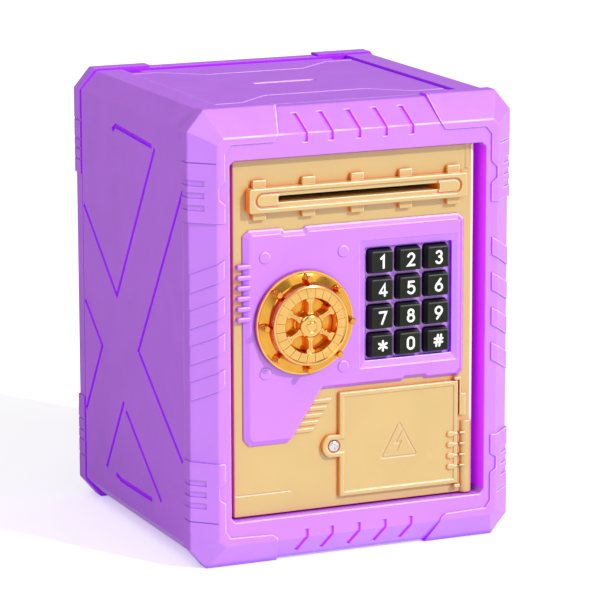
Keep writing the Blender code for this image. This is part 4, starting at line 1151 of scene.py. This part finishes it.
def key(name, x, z):
    """A cap with its legend and the flange that keeps it in its window."""
    foot = rounded(rectangle(about(x, FOOT_HALF[0]), about(z, FOOT_HALF[1])), 0.7, 3)
    top = rounded(rectangle(about(x, TOP_HALF[0]), about(z, TOP_HALF[1])), 0.7, 3)
    sections = [(-7.6, foot), (-3.2, inset(foot, 0.05))]
    sections += [(-KEY_FRONT - down, inset(top, by)) for by, down in quarter(0.45, 3)]
    cap = loft(FRONT, sections)
    flange = box(about(x, FLANGE_HALF[0]), (7.3, 8.1), about(z, FLANGE_HALF[1]))
    join(cap, flange, *legend(name, x, z))
    node = f"key_{name}"
    done(cap, f"keycap_{name}", node, (CHARCOAL, LEGEND), node, 40)


# ---- battery cover
COVER_D = (3.0, 4.7)


def cover_outline(by):
    """The cover's outline moved inwards by a distance, with the tab round its screw."""
    left, right, low, high = COVER_X[0] + by, COVER_X[1] - by, COVER_Z[0] + by, COVER_Z[1] - by
    radius, neck = 5.1 - by, 4.6 - by
    lean = math.degrees(math.asin(min(1.0, neck / radius)))
    tab = arc(COVER_SCREW, radius, 180 + lean if neck < radius else 270, 180 - lean, 16)
    start = [(left, COVER_SCREW[1] - neck), (left, low), (right, low), (right, high), (left, high)]
    points = start + [(left, COVER_SCREW[1] + neck)] + tab[::-1]
    return points if area(points) > 0 else points[::-1]


def battery_cover():
    """The lid of the battery bay, with hinge beads, screw hole and warning sign."""
    face, floor = on_front(COVER_D[0]), on_front(COVER_D[0] + 0.4)
    tall = COVER_D[1] - COVER_D[0]
    sections = [(0.0, cover_outline(0.0))]
    sections += [(tall - down, cover_outline(by)) for by, down in quarter(0.55, 4)]
    lid = loft(on_front(COVER_D[1]), sections)
    ribs = [box((0, 40), (4.4, 7.0), z) for z in ((26.0, 27.2), (65.2, 66.4))]
    join(lid, *ribs, rod("Z", (23.3, 68.5), COVER_AXIS, 0.55, 20))

    field = [(-0.4, cover_outline(2.05)), (-0.14, cover_outline(1.9)), (0.3, cover_outline(1.6))]
    cut(lid, loft(face, field))
    beads = []
    for z in BEAD_Z:
        beads.append(plate(face, capsule((40.9, z), (42.0, z), 2.5), -1.0, 0.58, 0.55, 4))
        beads.append(plate(face, capsule((42.0, z), (44.3, z), 0.8), -0.6, 0.3, 0.25))
    join(lid, *beads)
    hole = rod("D", (0, 8), COVER_SCREW, 1.6, 24)
    well = rod("D", (0, 3.95), COVER_SCREW, 2.75, 40)
    triangle = rounded([(10.8, 38.9), (26.4, 38.9), (18.6, 53.2)], 0.5)
    sign = prism(floor, inset(triangle, -0.3), -0.18, 1)
    cut(sign, prism(floor, inset(triangle, 0.3), -3, 3))
    zigzag = [(19.9, 49.3), (17.2, 44.6), (19.4, 44.9), (17.6, 40.9)]
    cut(lid, hole, well, sign, prism(floor, stroke(zigzag, 0.7), -0.18, 1))
    # Left-facing walls take the orange gold: painted shade.
    tinted(lid, faces_left)
    done(lid, "cover_lid", "battery_cover", (GOLD, SHADED_GOLD), "battery_cover", 32)


# ---- screws
PITCH = 0.8                              # of the screws' threads


def screw(name, at, head, tip, head_r, shank_r, facing, body, node):
    """A pan-head screw with a cross recess. head is its top and seat; facing is the side its head is on."""
    top, seat = head
    root_r, head_low = shank_r * 0.78, seat + facing * 0.15
    profile = [(0, tip), (shank_r * 0.4, tip), (shank_r, tip + facing * 1.2)]
    for i in range(int(abs(seat - tip) / PITCH) - 2):
        along = tip + facing * (1.4 + PITCH * i)
        profile += [(shank_r, along), (root_r, along + facing * PITCH * 0.5)]
    profile += [(root_r, seat - facing * 0.1), (root_r, seat), (head_r * 0.95, seat), (head_r, head_low)]
    for k in range(1, 6):
        turn = math.pi / 2 * k / 6
        profile.append((head_r * math.cos(turn) ** 0.7, head_low + (top - head_low) * math.sin(turn)))
    made = turned(at, profile + [(0, top)], 40)

    deep, long, wide = 0.55 * abs(top - seat), head_r * 0.55, head_r * 0.14
    depth = sorted((top - facing * deep, top + facing * 1.0))
    arms = []
    for x, z in ((long, wide), (wide, long)):
        arm = rectangle(about(at[0], x), about(at[1], z))
        arms.append(prism(on_back(0.0), rounded(arm, 0.12, 2), *depth))
    cut(made, join(*arms))
    done(made, name, body, (STEEL,), node, 35)


def screws():
    for i, at in enumerate(REAR_SCREWS, 1):
        screw(f"casing_screw_{i}", at, (133.2, 131.3), 114, 2.9, 1.4, 1, "casing", f"rear_screw_{i}")
    for i, at in enumerate(DOOR_SCREWS, 1):
        screw(f"lid_screw_{i}", at, (37.1, 35.6), 25, 2.3, 1.0, 1, "door", f"door_screw_{i}")
    screw("cover_bolt", COVER_SCREW, (2.65, 3.98), 7.25, 2.4, 1.2, -1, "cover_screw", "battery_cover_screw")


# ---- dial
DIAL_PROFILE = [                         # (radius, depth), from the back of the flange to the hub's tip
    (0, 2.4), (19.7, 2.4), (20.6, 2.2), (20.95, 1.9), (20.98, 1.4), (20.75, 1.0), (20.2, 0.85),
    (19.75, 0.95), (19.3, 0.75), (16.9, -0.55), (16.45, -1.2), (16.3, -3.4), (16.2, -4.5), (15.95, -4.95),
    (15.55, -5.15), (15.2, -5.05), (15.0, -4.75), (14.8, -4.6), (13.2, -5.0), (11.7, -5.3), (11.3, -5.25),
    (11.1, -5.0), (10.95, -4.4), (10.8, -1.4), (10.4, -0.9), (5.6, -0.9), (5.1, -1.2), (4.85, -4.3),
    (4.75, -4.8), (4.5, -5.25), (4.1, -5.6), (3.5, -5.85), (3.0, -5.95), (2.6, -5.85), (2.35, -5.7),
    (2.1, -5.75), (1.85, -6.05), (1.4, -6.28), (0.8, -6.4), (0, -6.4),
]
SPOKE = ((4.0, 1.5), (5.4, 1.3), (6.2, 0.9), (8.8, 0.85), (9.4, 1.2), (9.9, 1.75), (11.3, 1.8))
SPOKES, PEGS, SLITS = 6, 8, 24
RECESS = (10.95, -3.9)                   # the hollow inside the rim: its radius and the depth it starts at
FLANGE = (16.15, 20.4)                   # radii between which the dial takes the darker copy of the plating, a painted reflection


def compass(turn):
    """Directions ahead and to the left, seen from the front, for an angle in degrees."""
    ahead = Vector((math.cos(math.radians(turn)), math.sin(math.radians(turn))))
    return ahead, Vector((-ahead.y, ahead.x))


def ray(turn, near, far, width):
    """A bar that runs straight out from the dial's middle."""
    ahead = compass(turn)[0]
    return stroke([(DIAL[0] + ahead.x * r, DIAL[1] + ahead.y * r) for r in (near, far)], width)


def spoke(turn):
    """A waisted spoke and the ridge on top of it."""
    ahead, across = compass(turn)
    points = [ahead * r - across * w for r, w in SPOKE] + [ahead * r + across * w for r, w in SPOKE[::-1]]
    outline = [(DIAL[0] + p.x, DIAL[1] + p.y) for p in points]
    ridge = plate(FRONT, ray(turn, 5.6, 9.8, 0.7), 4.2, 4.8, 0.2, 0.2)
    return plate(FRONT, outline, 0.5, 4.5, 0.3, 0.3), ridge


def dial():
    """The plated knob, with spokes, pegs on its flange and slits in its rim."""
    knob = turned(DIAL, DIAL_PROFILE, 96)
    spokes = [solid for i in range(SPOKES) for solid in spoke(90 + 360 / SPOKES * i)]
    peg = [
        (0, 1.8), (1.45, 1.8), (1.45, -0.9), (1.25, -1.2), (1.2, -2.9), (1.3, -3.1), (1.3, -3.9),
        (1.1, -4.25), (0.7, -4.4), (0, -4.4),
    ]
    pegs = [turned(at, peg, 24) for at in ring(DIAL, 18.4, PEGS)]
    join(knob, *spokes, *pegs)
    slits = [prism(FRONT, ray(360 / SLITS * (i + 0.5), 11.0, 14.9, 0.18), 4.35, 6.0) for i in range(SLITS)]
    socket = rod("D", (-2.4, 4), DIAL, SHAFT_HOLE, 32)
    cut(knob, bundle(slits), socket)
    # The flange and the recess take the darker plating: a painted reflection.
    for face in knob.data.polygons:
        out = math.hypot(face.center.x / MM - DIAL[0], face.center.z / MM - DIAL[1])
        recess = out < RECESS[0] and face.center.y > FACE_Y + RECESS[1] * MM
        face.material_index = 1 if recess or FLANGE[0] < out < FLANGE[1] else 0
    done(knob, "dial_knob", "dial", (PLATED, PLATED_DARK_REFLECTION), "dial", 28)


# ---- battery cells and other turned pieces
def cells():
    """Cells with a rounded crimp at both ends; the middle one is turned round."""
    for i in (1, 2, 3):
        x, depth, z = span(f"battery_cell_{i}")
        at = (sum(depth) / 2, sum(z) / 2)
        start, end, sign = (x[1], x[0], -1) if i == 2 else (x[0], x[1], 1)
        radius = (depth[1] - depth[0]) / 2
        plan = [
            (0, 0.0), (5.9, 0.0), (6.6, 0.15), (radius, 0.6), (radius, -2.0), (6.75, -1.5), (2.9, -1.3),
            (2.5, -1.1), (2.3, -0.15), (2.1, 0.0), (0, 0.0),
        ]
        profile = [(r, start + sign * a if k < 4 else end + sign * a) for k, (r, a) in enumerate(plan)]
        cell = turned(at, profile, 56, "X")
        for face in cell.data.polygons:
            along = abs(face.center.x / MM - end)
            face.material_index = 1 if along < 1.45 or abs(face.center.x / MM - start) < 0.1 else 0
        done(cell, f"cell_{i}", "door", (CELL, NICKEL), f"battery_cell_{i}", 35)


def carry_over():
    """The hidden pieces keep their CAD shapes and get their finishes."""
    contacts = [f"{kind}_{i}" for kind in ("battery_spring", "contact_plate") for i in (1, 2, 3)]
    for finish, slot, names in (
        (STEEL, "steel", ("hinge_pin_lower", "hinge_pin_upper", "latch_bolt", "feeder_motor")),
        (BRUSHED, "steel", ("dial_shaft", "drive_shaft", "solenoid_plunger")),
        (RUBBER, "rubber", ("key_membrane", "drive_roller", "pinch_roller")),
        (BOARD, "circuit_board", ("keypad_board", "control_board")),
        (BLACK, "black_plastic", ("speaker", "solenoid_body")),
        (NYLON, "nylon", ("latch_pinion", "feeder_frame", "roller_gear", "motor_pinion")),
        (NICKEL, "contact_metal", contacts),
    ):
        for name in names:
            node = frame["nodes"][name]
            node.data.materials.clear()
            node.data.materials.append(finish)


front_frame()
body_shell()
top_panel()
rear_cover()
door_panel()
door_back()
slot_bezel()
fascia()
for place in key_places():
    key(*place)
battery_cover()
screws()
dial()
cells()
carry_over()


# ---- stage
SURROUND = 0.46                          # strength of the white surround as soft light
BRIGHT_WAY = (0.45, -0.75, -0.48)        # the way that shiny surfaces see the surround brightest
REFLECTED_IN_FRONT = 1.10                # its strength in reflections
BEHIND_SKY, BEHIND_FLOOR, OVERHEAD = 0.20, 0.05, 0.35


def reflected(make, way, behind, sign=1.0):
    """How bright the surround looks in a reflection that leaves along way; sign is -1 if way points back."""
    facing = make.dot(way, BRIGHT_WAY)
    return make.ranged(
        facing, -0.60 * sign, 0.05 * sign, behind, REFLECTED_IN_FRONT, interpolation_type="SMOOTHSTEP",
    )


def switch(make, share, off, on):
    """off where share is 0 and on where it is 1."""
    return make.add("ShaderNodeMix", {"Factor": share, "A": off, "B": on}).outputs["Result"]


def floor_finish():
    """White and matt; reflections see it as a part of the surround."""
    make = Finish("pale_floor")
    dust = make.patches(60.0, 3.0, 0.5, 0.0, 1.0)
    tone = make.mix(dust, linear((249, 249, 249)), linear((252, 252, 252)))
    path = make.add("ShaderNodeLightPath")
    incoming = make.add("ShaderNodeNewGeometry").outputs["Incoming"]
    lift = make.ranged(path.outputs["Is Camera Ray"], 0.0, 1.0, 0.0, 0.40)
    make.set(Base_Color=tone, Roughness=0.7, Emission_Color=linear((255, 255, 255)), Emission_Strength=lift)
    glow = make.add("ShaderNodeEmission", {"Strength": reflected(make, incoming, BEHIND_FLOOR, -1.0)})
    inputs = {0: path.outputs["Is Glossy Ray"], 1: make.shader.outputs[0], 2: glow.outputs[0]}
    both = make.add("ShaderNodeMixShader", inputs)
    make.put(make.tree.nodes["Material Output"].inputs["Surface"], both.outputs[0])
    make.material.cycles.emission_sampling = "NONE"
    return make.material


def studio():
    """A pale floor under a white surround that is bright to the camera and softer as light."""
    bm = bmesh.new()
    bmesh.ops.create_grid(bm, x_segments=1, y_segments=1, size=6.0)
    floor = link(bm)
    floor.name = floor.data.name = "floor"
    floor.data.materials.clear()
    floor.data.materials.append(floor_finish())

    sky = bpy.data.worlds.new("studio")
    make = Tree(sky)
    path = make.add("ShaderNodeLightPath").outputs
    way = make.add("ShaderNodeTexCoord").outputs["Generated"]
    upward = make.add("ShaderNodeSeparateXYZ", {0: way}).outputs["Z"]
    dimmer = make.ranged(upward, 0.15, 0.50, 1.0, OVERHEAD, interpolation_type="SMOOTHSTEP")
    shine = make.calc("MULTIPLY", reflected(make, way, BEHIND_SKY), dimmer)
    strength = switch(make, path["Is Glossy Ray"], SURROUND, shine)
    background = make.tree.nodes["Background"].inputs
    make.put(background["Strength"], switch(make, path["Is Camera Ray"], strength, 1.0))
    make.put(background["Color"], (1, 1, 1, 1))
    sky.cycles.sampling_method = "NONE"
    bpy.context.scene.world = sky
    bpy.context.scene.view_settings.view_transform = "Standard"


def heading(azimuth, elevation):
    """The direction to something, in degrees to the viewer's right of straight ahead and above."""
    a, e = math.radians(azimuth), math.radians(elevation)
    return Vector((math.sin(a) * math.cos(e), -math.cos(a) * math.cos(e), math.sin(e)))


def light(name, kind, azimuth, elevation, distance, power, size):
    """A lamp that looks at the object's middle."""
    lamp = bpy.data.lights.new(name, kind)
    lamp.energy = power
    if kind == "SUN":
        lamp.angle = size
    else:
        lamp.size = size
    holder = bpy.data.objects.new(name, lamp)
    bpy.context.scene.collection.objects.link(holder)
    back = heading(azimuth, elevation)
    holder.location = Vector((0, 0, MIDDLE_Z * MM)) + back * distance
    holder.rotation_euler = (-back).to_track_quat("-Z", "Y").to_euler()


def camera():
    """The photograph's view, from the left and a little above."""
    towards, roll = heading(-23.69, 12.13), math.radians(-0.12)
    target, distance = world(-25.62, 0.0, 107.78), 1.37398
    lens = bpy.data.cameras.new("camera")
    lens.lens, lens.sensor_width = 210.21, 36.0
    lens.shift_x, lens.shift_y = -0.00215, -0.0009
    lens.clip_start, lens.clip_end = 0.1, 20.0
    eye = bpy.data.objects.new("camera", lens)
    bpy.context.scene.collection.objects.link(eye)
    eye.location = target + towards * distance
    turn = (-towards).to_track_quat("-Z", "Y").to_matrix() @ Matrix.Rotation(roll, 3, "Z")
    eye.rotation_euler = turn.to_euler()
    bpy.context.scene.camera = eye


studio()
light("key", "SUN", azimuth=30, elevation=34, distance=2.0, power=2.1, size=0.04)
light("softbox", "AREA", azimuth=25, elevation=40, distance=1.2, power=1.5, size=0.8)
light("left_box", "AREA", azimuth=-58, elevation=52, distance=1.3, power=3.9, size=0.9)
camera()
